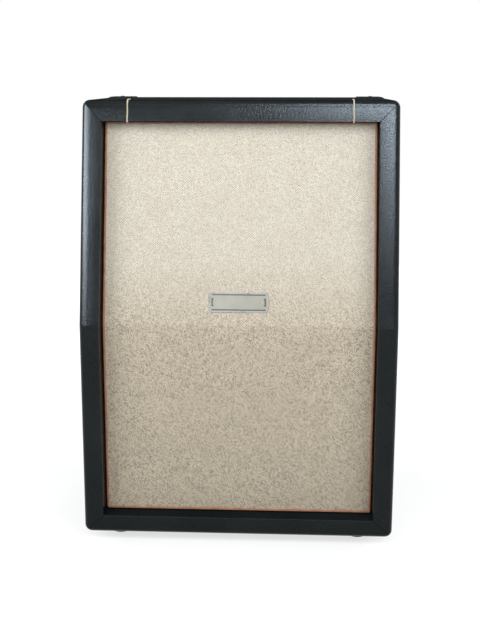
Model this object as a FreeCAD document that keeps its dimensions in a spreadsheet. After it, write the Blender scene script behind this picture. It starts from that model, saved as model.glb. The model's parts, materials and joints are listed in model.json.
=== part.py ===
import FreeCAD, Part
import math
import os
from types import SimpleNamespace

import Sketcher

# Upright guitar speaker cabinet with a bent front and two twelve inch drivers.
# Lengths are in mm and angles in degrees. X runs to the right seen from the front,
# Y into the depth and Z up from the floor, with the origin under the middle of the box.

SIZES = {
    # box, over its covering
    "width": 510.0,
    "height": 708.0,
    "depth": 365.0,
    "bend_height": 353.0,
    "slant": 13.0,
    "bend_round": 20.0,
    "corner_round": 12.0,
    "front_round": 8.0,
    "cover": 1.0,
    "wall": 18.0,
    "rail": 33.5,
    "side_rail": 32.0,
    "low_rail": 30.0,
    "seam": 0.8,
    # front opening, baffle boards and cloth
    "recess": 30.0,
    "cloth": 1.0,
    "baffle": 15.0,
    "baffle_gap": 3.0,
    "cleat": 20.0,
    "batten_thick": 18.0,
    "batten_inner_end": 80.0,
    "batten_below": 26.0,
    "batten_above": 15.0,
    "grille_bead": 1.75,
    "grille_bead_corner": 2.5,
    "grille_bead_bend": 16.0,
    "grille_bead_inset": 2.0,
    "top_bead": 1.1,
    "top_bead_lift": 0.6,
    "top_bead_reach": 28.0,
    "top_bead_inset": 74.0,
    # name plate, left bare
    "badge_width": 96.0,
    "badge_height": 32.0,
    "badge_thick": 2.0,
    "badge_notch": 4.0,
    "badge_rim": 1.6,
    "badge_sunk": 0.6,
    "badge_up": 41.5,
    "badge_pin_inset": 9.5,
    "badge_pin_head": 2.0,
    "badge_pin_proud": 0.9,
    "badge_pin_shank": 1.1,
    "badge_pin_length": 8.0,
    # back panel
    "back_wall": 12.0,
    "back_inset": 3.0,
    "back_gap": 1.0,
    # corner protectors
    "guard_thick": 1.6,
    "guard_reach": 52.0,
    "guard_screw_in": 27.0,
    # feet
    "foot_height": 16.0,
    "foot_top_radius": 19.0,
    "foot_base_radius": 17.0,
    "foot_sink_radius": 8.0,
    "foot_sink": 8.0,
    "foot_inset": 54.0,
    "foot_head_radius": 6.5,
    "foot_head_thick": 2.5,
    "foot_screw_radius": 2.2,
    "foot_screw_bite": 12.0,
    # side handles
    "handle_up": 440.0,
    "handle_flange_width": 172.0,
    "handle_flange_height": 126.0,
    "handle_flange_thick": 3.0,
    "handle_flange_round": 16.0,
    "handle_cup_width": 142.0,
    "handle_cup_height": 96.0,
    "handle_cup_depth": 58.0,
    "handle_cup_wall": 3.0,
    "handle_cup_round": 14.0,
    "handle_cup_gap": 0.5,
    "grip_radius": 9.0,
    "grip_rise": 20.0,
    "grip_sunk": 10.0,
    "grip_spigot_radius": 5.0,
    "handle_screw_inset": 10.0,
    # jack plate
    "jack_plate_width": 92.0,
    "jack_plate_height": 72.0,
    "jack_plate_thick": 2.0,
    "jack_plate_round": 7.0,
    "jack_window_width": 60.0,
    "jack_window_height": 46.0,
    "jack_screw_inset": 8.0,
    "jack_body": 22.0,
    "jack_body_length": 24.0,
    "jack_bush_radius": 4.7,
    "jack_bore_radius": 3.25,
    "jack_bore_length": 25.0,
    "jack_nut_flats": 14.0,
    "jack_nut_thick": 2.5,
    # small wood screws
    "screw_radius": 1.9,
    "screw_head_radius": 3.8,
    "screw_head_thick": 1.0,
    "screw_length": 16.0,
    "back_screw_length": 26.0,
    # drivers, depths counted backwards from the rear face of the baffle
    "driver_gap": 1.88,
    "cutout_lap_width": 13.0,
    "frame_sheet": 2.0,
    "gasket_lip_width": 0.5,
    "gasket_land_width": 14.0,
    "gasket_thick": 4.0,
    "rim_step_width": 12.0,
    "rim_width": 27.0,
    "rim_wall_width": 35.0,
    "rim_wall_depth": 21.0,
    "frame_seat_radius": 66.0,
    "frame_seat_depth": 77.0,
    "frame_hole_radius": 38.0,
    "window_inner_radius": 73.0,
    "window_outer_width": 40.0,
    "window_half_angle": 21.0,
    "edge_sheet": 1.0,
    "edge_roll": 1.2,
    "edge_land_width": 14.5,
    "cone_edge_width": 34.0,
    "cone_front": 8.0,
    "cone_depth": 50.0,
    "cone_sheet": 1.0,
    "cone_neck": 8.0,
    "cap_radius": 36.0,
    "cap_rise": 12.0,
    "cap_sheet": 0.8,
    "coil_radius": 22.0,
    "coil_former": 0.35,
    "coil_winding": 0.75,
    "coil_winding_length": 10.0,
    "coil_front": 62.0,
    "coil_length": 31.0,
    "coil_gap": 0.7,
    "glue_gap": 0.3,
    "spider_radius": 63.0,
    "spider_land": 8.0,
    "spider_sheet": 0.8,
    "spider_wave": 2.4,
    "spider_clear": 1.0,
    "front_plate_radius": 58.0,
    "front_plate_thick": 7.0,
    "magnet_inner_radius": 32.0,
    "magnet_radius": 76.0,
    "magnet_thick": 18.0,
    "back_plate_radius": 70.0,
    "back_plate_thick": 7.0,
    "vent_radius": 5.0,
    "bolt_circle_offset": 6.5,
    "bolt_radius": 2.5,
    "bolt_head_radius": 6.5,
    "bolt_head_thick": 2.5,
    "bolt_reach": 13.0,
    "nut_flats": 8.0,
    "nut_thick": 4.5,
    "strip_width": 26.0,
    "strip_inner": 58.5,
    "strip_outer": 84.0,
    "strip_thick": 2.0,
    "lug_width": 5.0,
    "lug_spacing": 14.0,
    "lug_height": 7.0,
    "lug_thick": 1.0,
    # leads inside the box
    "lead_radius": 2.3,
    "lead_bend": 22.0,
    "lead_spread": 7.0,
    "lead_back": 44.0,
    "lead_over_gap": 42.0,
    "clip_length": 12.0,
    "clip_width": 13.0,
    "clip_height": 9.0,
    "clip_floor": 1.5,
    # turns of drawn shapes
    "quarter_angle": 90.0,
    "hexagon_angle": 30.0,
    "bolt_angle": 45.0,
    # clearances and the overrun of cutting tools
    "hole_clear": 0.2,
    "loose_clear": 0.3,
    "overrun": 6.0,
}

FINGERS = 9
WINDOWS = 6
BOLTS = 4
SIDES = {"left": -1, "right": 1}

doc = FreeCAD.newDocument("cabinet")
sheet = doc.addObject("Spreadsheet::Sheet", "Sizes")
for row, (alias, number) in enumerate(SIZES.items(), start=1):
    sheet.set(f"A{row}", alias)
    sheet.set(f"B{row}", str(number))
    sheet.setAlias(f"B{row}", alias)
doc.recompute()


class Size:
    # A number together with the sheet expression that gives it.
    def __init__(self, value, text):
        self.value = value
        self.text = text

    def __add__(self, other):
        other = sized(other)
        return Size(self.value + other.value, f"({self.text} + {other.text})")

    def __sub__(self, other):
        other = sized(other)
        return Size(self.value - other.value, f"({self.text} - {other.text})")

    def __mul__(self, other):
        other = sized(other)
        return Size(self.value * other.value, f"({self.text} * {other.text})")

    def __truediv__(self, other):
        other = sized(other)
        return Size(self.value / other.value, f"({self.text} / {other.text})")

    def __neg__(self):
        return Size(-self.value, f"(-{self.text})")

    def __rmul__(self, other):
        return sized(other) * self


def sized(thing):
    return thing if isinstance(thing, Size) else Size(thing, repr(thing))


def sine(angle):
    return Size(math.sin(math.radians(angle.value)), f"sin({angle.text})")


def cosine(angle):
    return Size(math.cos(math.radians(angle.value)), f"cos({angle.text})")


def least(first, second):
    return Size(min(first.value, second.value), f"min({first.text}; {second.text})")


def tangent(angle):
    return Size(math.tan(math.radians(angle.value)), f"tan({angle.text})")


s = SimpleNamespace(**{alias: Size(number, f"Sizes.{alias}") for alias, number in SIZES.items()})
parts = {}


def bind(thing, path, size):
    thing.setExpression(path, sized(size).text)


def move(thing, x=0, y=0, z=0):
    for axis, size in zip("xyz", (x, y, z)):
        bind(thing, f"Placement.Base.{axis}", size)
    return thing


def turn_about(thing, axis, angle):
    start = FreeCAD.Rotation(FreeCAD.Vector(*axis), angle.value)
    thing.Placement = FreeCAD.Placement(thing.Placement.Base, start)
    bind(thing, "Placement.Rotation.Angle", angle)
    return thing


def keep(label, thing):
    thing.Label = label
    parts[label] = thing
    return thing


# Sketches and bodies


def origin_of(body, role):
    return next(feature for feature in body.Origin.OriginFeatures if feature.Role == role)


def fix_point(drawn, item, end, u, v):
    for kind, axis, size in (("DistanceX", -2, u), ("DistanceY", -1, v)):
        if isinstance(size, Size):
            index = drawn.addConstraint(Sketcher.Constraint(kind, -1, 1, item, end, size.value))
            drawn.setExpression(f"Constraints[{index}]", size.text)
        else:
            drawn.addConstraint(Sketcher.Constraint("PointOnObject", item, end, axis))


def draw_polygon(drawn, corners):
    spots = [FreeCAD.Vector(sized(u).value, sized(v).value, 0) for u, v in corners]
    following = spots[1:] + spots[:1]
    lines = [drawn.addGeometry(Part.LineSegment(a, b), False) for a, b in zip(spots, following)]
    for line, after in zip(lines, lines[1:] + lines[:1]):
        drawn.addConstraint(Sketcher.Constraint("Coincident", line, 2, after, 1))
    for line, (u, v) in zip(lines, corners):
        fix_point(drawn, line, 1, u, v)


def draw_circle(drawn, u, v, radius):
    centre = FreeCAD.Vector(sized(u).value, sized(v).value, 0)
    circle = Part.Circle(centre, FreeCAD.Vector(0, 0, 1), radius.value)
    item = drawn.addGeometry(circle, False)
    fix_point(drawn, item, 3, u, v)
    index = drawn.addConstraint(Sketcher.Constraint("Radius", item, radius.value))
    drawn.setExpression(f"Constraints[{index}]", radius.text)


def outline(body, plane, loops, lift=0):
    # Each loop is a list of corners, or a circle given as (centre u, centre v, radius).
    drawn = body.newObject("Sketcher::SketchObject", "Outline")
    drawn.AttachmentSupport = [(origin_of(body, plane), "")]
    drawn.MapMode = "FlatFace"
    bind(drawn, "AttachmentOffset.Base.z", lift)
    for loop in loops:
        if isinstance(loop, tuple):
            draw_circle(drawn, *loop)
        else:
            draw_polygon(drawn, loop)
    return drawn


def new_body(label):
    body = doc.addObject("PartDesign::Body", label)
    body.AllowCompound = True
    return body


def extrude(body, kind, drawn, length, flipped=False):
    feature = body.newObject(f"PartDesign::{kind}", kind)
    feature.Profile = drawn
    bind(feature, "Length", length)
    feature.Reversed = flipped
    body.Tip = feature
    return feature


def edge_names(shape, chosen):
    return [f"Edge{number}" for number, edge in enumerate(shape.Edges, start=1) if chosen(edge)]


def fillet(body, radius, chosen):
    doc.recompute()
    base = body.Tip
    rounded = body.newObject("PartDesign::Fillet", "Fillet")
    rounded.Base = (base, edge_names(base.Shape, chosen))
    bind(rounded, "Radius", radius)
    body.Tip = rounded
    return rounded


def along(direction):
    # Picks straight edges that run along one axis.
    wanted = FreeCAD.Vector(*direction)

    def chosen(edge):
        if len(edge.Vertexes) < 2:
            return False
        way = edge.Vertexes[-1].Point.sub(edge.Vertexes[0].Point)
        return way.Length > 0 and abs(way.normalize().dot(wanted)) > 1 - Part.Precision.confusion()

    return chosen


PLANES = {
    "x": ("YZ_Plane", False, (1, 0, 0)),
    "y": ("XZ_Plane", True, (0, 1, 0)),
    "z": ("XY_Plane", False, (0, 0, 1)),
}


def prism(label, axis, low, high, loops, rounding=None):
    plane, flipped, direction = PLANES[axis]
    body = new_body(label)
    extrude(body, "Pad", outline(body, plane, loops), high - low, flipped)
    if rounding is not None:
        fillet(body, rounding, along(direction))
    return move(body, **{axis: low})


def box(label, x, y, z):
    block = doc.addObject("Part::Box", label)
    for side, (low, high) in zip(("Length", "Width", "Height"), (x, y, z)):
        bind(block, side, high - low)
    return move(block, x[0], y[0], z[0])


def turned(label, corners):
    # Corners are (radius, height); the body's Z is the turning axis.
    body = new_body(label)
    feature = body.newObject("PartDesign::Revolution", "Revolution")
    feature.Profile = outline_for(feature, body, corners)
    feature.ReferenceAxis = (feature.Profile[0], ["V_Axis"])
    feature.Angle = 360
    body.Tip = feature
    return body


def outline_for(feature, body, corners):
    body.removeObject(feature)
    drawn = outline(body, "XZ_Plane", [corners])
    body.addObject(feature)
    return drawn


def rectangle(u, v):
    return [(u[0], v[0]), (u[1], v[0]), (u[1], v[1]), (u[0], v[1])]


def centred(middle, width):
    return (middle - width / 2, middle + width / 2)


# Booleans and groups


def joined(label, members):
    if len(members) == 1:
        return members[0]
    whole = doc.addObject("Part::MultiFuse", label)
    whole.Shapes = members
    return whole


def cut(label, base, tools):
    result = doc.addObject("Part::Cut", label)
    result.Base = base
    result.Tool = joined(f"{label}_tools", tools)
    return result


def common(label, base, tool):
    result = doc.addObject("Part::Common", label)
    result.Base = base
    result.Tool = tool
    return result


def group(label, members):
    whole = doc.addObject("Part::Compound", label)
    whole.Links = members
    return whole


def mirrored(label, source):
    image = doc.addObject("Part::Mirroring", label)
    image.Source = source
    image.Normal = FreeCAD.Vector(1, 0, 0)
    return image


# Places on the bent front: offsets run inwards, square to the face

half = s.width / 2
front = -(s.depth + s.guard_thick) / 2
rear = front + s.depth
floor_gap = s.foot_height
box_top = floor_gap + s.height
bend = floor_gap + s.bend_height


def bend_at(offset):
    return bend - offset * tangent(s.slant / 2)


def slope_y(offset, z):
    return front + (z - bend) * tangent(s.slant) + offset / cosine(s.slant)


def on_slope(offset, up):
    # Point on the upper face, up being measured along the slope from the bend.
    y = front + offset * cosine(s.slant) + up * sine(s.slant)
    z = bend + up * cosine(s.slant) - offset * sine(s.slant)
    return (y, z)


def band(first, last, low, high):
    # Strip between two offsets that follows the bend from low to high.
    near = [(front + first, low), (front + first, bend_at(first)), (slope_y(first, high), high)]
    far = [(slope_y(last, high), high), (front + last, bend_at(last)), (front + last, low)]
    return near + far


def face_frame(thing, upper, offset, up):
    # Puts a body on the upper or lower face, its Z pointing into the box.
    if upper:
        y, z = on_slope(offset, up)
        turn_about(thing, (-1, 0, 0), s.slant + s.quarter_angle)
    else:
        y, z = front + offset, bend + up
        turn_about(thing, (-1, 0, 0), s.quarter_angle)
    return move(thing, 0, y, z)


# The rounded box: outside, wood under the covering, and outside of the corner protectors


def rounded_block(label, inset):
    low, high = floor_gap + inset, box_top - inset
    corners = [
        (front + inset, low),
        (front + inset, bend_at(inset)),
        (slope_y(inset, high), high),
        (rear - inset, high),
        (rear - inset, low),
    ]
    body = new_body(label)
    extrude(body, "Pad", outline(body, "YZ_Plane", [corners]), s.width - inset * 2)
    move(body, inset - half)
    across = along((1, 0, 0))

    def near_bend(edge):
        return across(edge) and abs(edge.CenterOfMass.z - bend.value) < s.bend_round.value

    def in_face(point):
        # Whether a point lies in the upright or the sloping front face, the rounded bend included.
        face_y = max((front + inset).value, slope_y(inset, sized(point.z)).value)
        return point.y - face_y < s.cover.value

    def in_front(edge):
        return in_face(edge.CenterOfMass) and all(in_face(vertex.Point) for vertex in edge.Vertexes)

    fillet(body, s.bend_round - inset, near_bend)
    fillet(body, s.corner_round - inset, lambda edge: not in_front(edge))
    fillet(body, s.front_round - inset, lambda edge: in_front(edge) and not near_bend(edge))
    return body


outside = rounded_block("outside", sized(0))
wood_block = rounded_block("wood_block", s.cover)
guard_block = rounded_block("guard_block", -s.guard_thick)

lining = s.cover + s.wall
rear_rail = lining + s.cover
seat = s.recess + s.cloth + s.baffle
back_seat = s.back_inset + s.cover + s.back_wall
opening_half = half - s.side_rail
opening_low, opening_high = floor_gap + s.low_rail, box_top - s.rail
inner_half = half - lining
inner_low, inner_high = floor_gap + lining, box_top - lining
back_half = half - rear_rail
back_low, back_high = floor_gap + rear_rail, box_top - rear_rail

# Room on the two baffle boards, from which the drivers take their place and their size

board_half = opening_half - s.baffle_gap
board_low = opening_low + s.baffle_gap
board_face = s.recess + s.cloth
slope_top = (opening_high - bend + board_face * sine(s.slant)) / cosine(s.slant) - s.baffle_gap
lower_room = bend_at(seat) - board_low
upper_room = slope_top - seat * tangent(s.slant / 2)
lower_up = bend_at(seat) - bend - lower_room / 2
upper_up = slope_top - upper_room / 2
drivers = {"upper": (True, upper_up), "lower": (False, lower_up)}
frame_radius = least(lower_room, upper_room) / 2 - s.driver_gap
driver_cutout_radius = frame_radius - s.cutout_lap_width
gasket_outer_radius = frame_radius - s.gasket_lip_width
gasket_inner_radius = frame_radius - s.gasket_land_width
bolt_circle_radius = frame_radius - s.bolt_circle_offset
rim_outer_radius = frame_radius - s.rim_step_width
rim_inner_radius = frame_radius - s.rim_width
rim_wall_radius = frame_radius - s.rim_wall_width
window_outer_radius = frame_radius - s.window_outer_width
edge_land_radius = frame_radius - s.edge_land_width
cone_radius = frame_radius - s.cone_edge_width


def front_pocket(label, spread, deeper):
    low, high = opening_low - spread, opening_high + spread
    corners = [
        (front - s.overrun, low),
        (front - s.overrun, high),
        (slope_y(seat + deeper, high), high),
        (front + seat + deeper, bend_at(seat + deeper)),
        (front + seat + deeper, low),
    ]
    return prism(label, "x", -(opening_half + spread), opening_half + spread, [corners])


def rear_pocket(label, spread, deeper):
    across, low, high = back_half + spread, back_low - spread, back_high + spread
    return box(label, (-across, across), (rear - back_seat - deeper, rear + s.overrun), (low, high))


# Screws: each place gives a screw and the hole it needs

screw_places = {}


def rod(label, radius, low, high):
    body = doc.addObject("Part::Cylinder", label)
    bind(body, "Radius", radius)
    bind(body, "Height", high - low)
    return body


def screw_profile(length):
    return [
        (0, -length),
        (s.screw_radius, -length),
        (s.screw_radius, 0),
        (s.screw_head_radius, 0),
        (s.screw_head_radius * 0.6, s.screw_head_thick),
        (0, s.screw_head_thick),
    ]


TURNS = {"x": ((0, 1, 0), 90), "-x": ((0, -1, 0), 90), "y": ((-1, 0, 0), 90), "z": None, "-z": ((1, 0, 0), 180)}


def aim(thing, way, x, y, z):
    if TURNS[way] is not None:
        axis, angle = TURNS[way]
        turn_about(thing, axis, sized(angle))
    return move(thing, x, y, z)


def screws(label, way, places, length):
    made, holes = [], []
    for place in places:
        made.append(aim(turned(f"{label}_screw", screw_profile(length)), way, *place))
        radius = s.screw_radius + s.hole_clear
        hole = [(0, -(length + s.hole_clear)), (radius, -(length + s.hole_clear)), (radius, 0), (0, 0)]
        holes.append(aim(turned(f"{label}_hole", hole), way, *place))
    return made, holes


# Feet

foot_places = {
    f"{end}_{side}": (sign * (half - s.foot_inset), y)
    for end, y in (("front", front + s.foot_inset), ("rear", rear - s.foot_inset))
    for side, sign in SIDES.items()
}
foot_hole = s.foot_screw_radius + s.hole_clear
foot_corners = [
    (foot_hole, s.foot_height),
    (s.foot_top_radius, s.foot_height),
    (s.foot_base_radius, 0),
    (s.foot_sink_radius, 0),
    (s.foot_sink_radius, s.foot_sink),
    (foot_hole, s.foot_sink),
]
foot_tip = s.foot_height + s.foot_screw_bite
foot_screw_corners = [
    (0, s.foot_sink - s.foot_head_thick),
    (s.foot_head_radius, s.foot_sink - s.foot_head_thick),
    (s.foot_head_radius, s.foot_sink),
    (s.foot_screw_radius, s.foot_sink),
    (s.foot_screw_radius, foot_tip),
    (0, foot_tip),
]
foot_hole_top = foot_tip + s.hole_clear
foot_hole_corners = [(0, 0), (foot_hole, 0), (foot_hole, foot_hole_top), (0, foot_hole_top)]
foot_screws, foot_holes = [], []
for name, (x, y) in foot_places.items():
    keep(f"foot_{name}", move(turned(f"foot_{name}", foot_corners), x, y))
    foot_screws.append(move(turned(f"foot_screw_{name}", foot_screw_corners), x, y))
    foot_holes.append(move(turned(f"foot_hole_{name}", foot_hole_corners), x, y))
keep("foot_screws", group("foot_screws", foot_screws))

# Corner protectors on the four rear corners

guard_shell = cut("guard_shell", guard_block, [outside])
guard_clear = rear_pocket("guard_clear", sized(0), s.overrun)
trim_screws = []
side_holes = {"left": [], "right": []}
flat_holes = {"lower": [], "upper": []}
guard_blanks = {}
for level, corner_z, turn_z, way in (("lower", floor_gap, 1, "-z"), ("upper", box_top, -1, "z")):
    for side, sign in SIDES.items():
        name = f"corner_{level}_{side}"
        ball = doc.addObject("Part::Sphere", f"{name}_ball")
        bind(ball, "Radius", s.guard_reach)
        move(ball, sign * half, rear, corner_z)
        cap = common(f"{name}_cap", guard_shell, ball)
        face_z = corner_z - turn_z * s.guard_thick
        flat = (sign * (half - s.guard_screw_in), rear - s.guard_screw_in, face_z)
        edge = (sign * (half + s.guard_thick), rear - s.guard_screw_in, corner_z + turn_z * s.guard_screw_in)
        flat_made, flat_hole = screws(f"{name}_flat", way, [flat], s.screw_length)
        side_made, side_hole = screws(f"{name}_side", "x" if sign > 0 else "-x", [edge], s.screw_length)
        trim_screws += flat_made + side_made
        flat_holes[level] += flat_hole
        side_holes[side] += side_hole
        keep(name, cut(name, cap, [guard_clear] + flat_hole + side_hole))

# Side handles: a moulded cup let through the wall, and a grip across it

handle_z = floor_gap + s.handle_up
cup_room_front = slope_y(seat + s.cleat, handle_z + s.handle_cup_height / 2)
cup_room_back = rear - back_seat - s.cleat
handle_y = (cup_room_front + cup_room_back) / 2
cup_y = centred(handle_y, s.handle_cup_width)
cup_z = centred(handle_z, s.handle_cup_height)
inner_y = centred(handle_y, s.handle_cup_width - s.handle_cup_wall * 2)
inner_z = centred(handle_z, s.handle_cup_height - s.handle_cup_wall * 2)
cup_floor = half - s.handle_cup_depth
grip_x, grip_z = half - s.grip_sunk, handle_z + s.grip_rise

flange = prism(
    "handle_flange",
    "x",
    half,
    half + s.handle_flange_thick,
    [rectangle(centred(handle_y, s.handle_flange_width), centred(handle_z, s.handle_flange_height))],
    s.handle_flange_round,
)
tub = prism("handle_tub", "x", cup_floor, half, [rectangle(cup_y, cup_z)], s.handle_cup_round)
hollow = prism(
    "handle_hollow",
    "x",
    cup_floor + s.handle_cup_wall,
    half + s.overrun,
    [rectangle(inner_y, inner_z)],
    s.handle_cup_round - s.handle_cup_wall,
)
handle_slot = prism(
    "handle_slot",
    "x",
    inner_half - s.overrun,
    half + s.overrun,
    [
        rectangle(
            centred(handle_y, s.handle_cup_width + s.handle_cup_gap * 2),
            centred(handle_z, s.handle_cup_height + s.handle_cup_gap * 2),
        )
    ],
    s.handle_cup_round + s.handle_cup_gap,
)
spigot_hole = s.grip_spigot_radius + s.loose_clear
grip_seat = aim(
    turned("grip_seat", rectangle((0, spigot_hole), (0, s.handle_cup_width + s.overrun * 2))),
    "y",
    grip_x,
    cup_y[0] - s.overrun,
    grip_z,
)
grip_length = s.handle_cup_width - s.handle_cup_wall * 2
grip_corners = [
    (0, -s.handle_cup_wall),
    (s.grip_spigot_radius, -s.handle_cup_wall),
    (s.grip_spigot_radius, 0),
    (s.grip_radius, 0),
    (s.grip_radius, grip_length),
    (s.grip_spigot_radius, grip_length),
    (s.grip_spigot_radius, grip_length + s.handle_cup_wall),
    (0, grip_length + s.handle_cup_wall),
]
right_grip = aim(turned("handle_grip_right", grip_corners), "y", grip_x, inner_y[0], grip_z)
handle_edge_y = s.handle_flange_width / 2 - s.handle_screw_inset
handle_edge_z = s.handle_flange_height / 2 - s.handle_screw_inset
handle_face = half + s.handle_flange_thick
handle_places = [
    (handle_face, handle_y + turn_y * handle_edge_y, handle_z + turn_z * handle_edge_z)
    for turn_y in (-1, 1)
    for turn_z in (-1, 1)
]
handle_made, handle_holes = screws("handle", "x", handle_places, s.screw_length)
right_cup = cut(
    "handle_cup_right",
    joined("handle_cup_body", [flange, tub]),
    [hollow, grip_seat] + handle_holes,
)
keep("handle_cup_right", right_cup)
keep("handle_cup_left", mirrored("handle_cup_left", right_cup))
keep("handle_grip_right", right_grip)
keep("handle_grip_left", mirrored("handle_grip_left", right_grip))
trim_screws += handle_made + [mirrored("handle_screw_left", made) for made in handle_made]
handle_slots = {"right": handle_slot, "left": mirrored("handle_slot_left", handle_slot)}
side_holes["right"] += handle_holes
side_holes["left"] += [mirrored("handle_hole_left", hole) for hole in handle_holes]

# Cords and beads that follow a path of straight runs and tangent arcs


def spot(x, y, z):
    return FreeCAD.Vector(sized(x).value, sized(y).value, sized(z).value)


def path(corners, radii, closed=False):
    count = len(corners)
    bends = range(count) if closed else range(1, count - 1)
    arcs = {}
    for number in bends:
        corner = corners[number]
        back = corners[number - 1].sub(corner).normalize()
        ahead = corners[(number + 1) % count].sub(corner).normalize()
        between = math.acos(back.dot(ahead))
        reach = radii[number] / math.tan(between / 2)
        middle = back.add(ahead).normalize()
        depth = radii[number] / math.sin(between / 2) - radii[number]
        arcs[number] = (corner + back * reach, corner + middle * depth, corner + ahead * reach)
    edges = []
    for number in range(count if closed else count - 1):
        after = (number + 1) % count
        start = arcs[number][2] if number in arcs else corners[number]
        end = arcs[after][0] if after in arcs else corners[after]
        edges.append(Part.LineSegment(start, end).toShape())
        if after in arcs:
            edges.append(Part.Arc(*arcs[after]).toShape())
    return Part.Wire(edges)


def cord(label, corners, radius, radii, closed=False):
    spine = path(corners, radii, closed)
    start = spine.Edges[0].Vertexes[0].Point
    heading = spine.Edges[0].tangentAt(spine.Edges[0].FirstParameter)
    ring = Part.Wire([Part.makeCircle(radius.value, start, heading)])
    laid = doc.addObject("Part::Feature", label)
    laid.Shape = spine.makePipeShell([ring], True, True)
    section = math.pi * radius.value**2
    print(label, "volume over section times length", round(laid.Shape.Volume / (section * spine.Length), 4))
    return laid


# Cream beads laid in the covering over the top rail, which end on the top

top_y, top_z = slope_y(-s.top_bead_lift, box_top + s.top_bead_lift), box_top + s.top_bead_lift
bead_foot = opening_high
bead_round = (s.front_round + s.top_bead_lift).value
top_beads = {}
for side, sign in SIDES.items():
    x = sign * (half - s.top_bead_inset)
    run = [
        spot(x, slope_y(-s.top_bead_lift, bead_foot), bead_foot),
        spot(x, top_y, top_z),
        spot(x, top_y + s.top_bead_reach, top_z),
    ]
    name = f"top_piping_{side}"
    top_beads[side] = keep(name, cord(name, run, s.top_bead, [bead_round] * len(run)))

# Covering: a skin over the box that folds into the front and rear openings

slits = []
for level, low, high, far_y in (
    ("lower", opening_low, floor_gap, front + s.corner_round),
    ("upper", opening_high, box_top, slope_y(sized(0), box_top) + s.corner_round),
):
    turn_z = 1 if level == "lower" else -1
    loops = []
    for sign in SIDES.values():
        near = (sign * (opening_half - s.overrun), low + turn_z * s.overrun)
        far = (sign * (half + s.overrun), high - turn_z * s.overrun)
        loops.append(
            [
                (near[0], near[1] - s.seam / 2),
                (far[0], far[1] - s.seam / 2),
                (far[0], far[1] + s.seam / 2),
                (near[0], near[1] + s.seam / 2),
            ]
        )
    slits.append(prism(f"slit_{level}", "y", front - s.overrun, far_y, loops))

wrapped = cut(
    "wrapped",
    wood_block,
    [front_pocket("lined_front", s.cover, sized(0)), rear_pocket("lined_rear", s.cover, sized(0))],
)
skin = cut(
    "skin",
    outside,
    [wrapped, front_pocket("front_opening", sized(0), s.overrun), rear_pocket("rear_opening", sized(0), s.overrun)],
)
covering = cut(
    "cabinet_covering",
    skin,
    slits
    + list(top_beads.values())
    + list(handle_slots.values())
    + foot_holes
    + [hole for holes in (*side_holes.values(), *flat_holes.values()) for hole in holes],
)
keep("cabinet_covering", covering)

# Plywood box with finger joints

finger = (s.depth - s.cover * 2) / FINGERS
side_bars, flat_bars = [], []
for number in range(FINGERS):
    reach = (front + s.cover + finger * number, front + s.cover + finger * (number + 1))
    if number % 2:
        for low, high in ((floor_gap - s.overrun, inner_low), (inner_high, box_top + s.overrun)):
            side_bars.append(box("finger", (-half, half), reach, (low, high)))
    else:
        for low, high in ((-(half + s.overrun), -inner_half), (inner_half, half + s.overrun)):
            flat_bars.append(box("finger", (low, high), reach, (floor_gap, box_top)))
side_fingers = joined("side_fingers", side_bars)
flat_fingers = joined("flat_fingers", flat_bars)

deep = (front - s.overrun, rear + s.overrun)
tall = (floor_gap - s.overrun, box_top + s.overrun)
wide = (-(half + s.overrun), half + s.overrun)
side_slabs = {"left": (wide[0], -inner_half), "right": (inner_half, wide[1])}
for side, slab in side_slabs.items():
    raw = common(f"side_{side}_raw", wood_block, box(f"side_{side}_slab", slab, deep, tall))
    name = f"side_panel_{side}"
    keep(name, cut(name, raw, [side_fingers, handle_slots[side]] + side_holes[side]))
flat_slabs = {"lower": (tall[0], inner_low), "upper": (inner_high, tall[1])}
for level, slab in flat_slabs.items():
    name = "bottom_panel" if level == "lower" else "top_panel"
    raw = common(f"{name}_raw", wood_block, box(f"{name}_slab", wide, deep, slab))
    holes = flat_holes[level] + (foot_holes if level == "lower" else [])
    keep(name, cut(name, raw, [flat_fingers] + holes))

# Trim strips that thicken the front edge, under the covering

lined_half = opening_half + s.cover
trims = []
for side, sign in SIDES.items():
    low, high = (-inner_half, -lined_half) if sign < 0 else (lined_half, inner_half)
    strip = prism(f"trim_{side}", "x", low, high, [band(sized(0), seat, inner_low, inner_high)])
    trims.append(common(f"trim_{side}_strip", wood_block, strip))
upper_trim = [
    (slope_y(sized(0), inner_high), inner_high),
    (slope_y(seat, inner_high), inner_high),
    (slope_y(seat, opening_high + s.cover), opening_high + s.cover),
    (slope_y(sized(0), opening_high + s.cover), opening_high + s.cover),
]
lower_trim = rectangle((front, front + seat), (inner_low, opening_low - s.cover))
for level, corners in (("upper", upper_trim), ("lower", lower_trim)):
    strip = prism(f"trim_{level}", "x", -lined_half, lined_half, [corners])
    trims.append(common(f"trim_{level}_strip", wood_block, strip))
keep("front_trim", group("front_trim", trims))

# Cleats and battens that the boards and the back are screwed to

cleat_half = inner_half - s.cleat
cleat_band = band(seat, seat + s.cleat, inner_low, inner_high)
batten_band = band(seat, seat + s.batten_thick, bend - s.batten_below, bend + s.batten_above)
baffle_cleats, bend_battens = [], []
for side, sign in SIDES.items():
    spans = ((cleat_half, inner_half), (s.batten_inner_end, cleat_half))
    (cleat_low, cleat_high), (batten_low, batten_high) = [
        span if sign > 0 else (-span[1], -span[0]) for span in spans
    ]
    baffle_cleats.append(prism(f"baffle_cleat_{side}", "x", cleat_low, cleat_high, [cleat_band]))
    bend_battens.append(prism(f"bend_batten_{side}", "x", batten_low, batten_high, [batten_band]))
keep("baffle_cleats", group("baffle_cleats", baffle_cleats))
keep("bend_battens", group("bend_battens", bend_battens))

# Back panel, its covering and its screws

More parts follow.
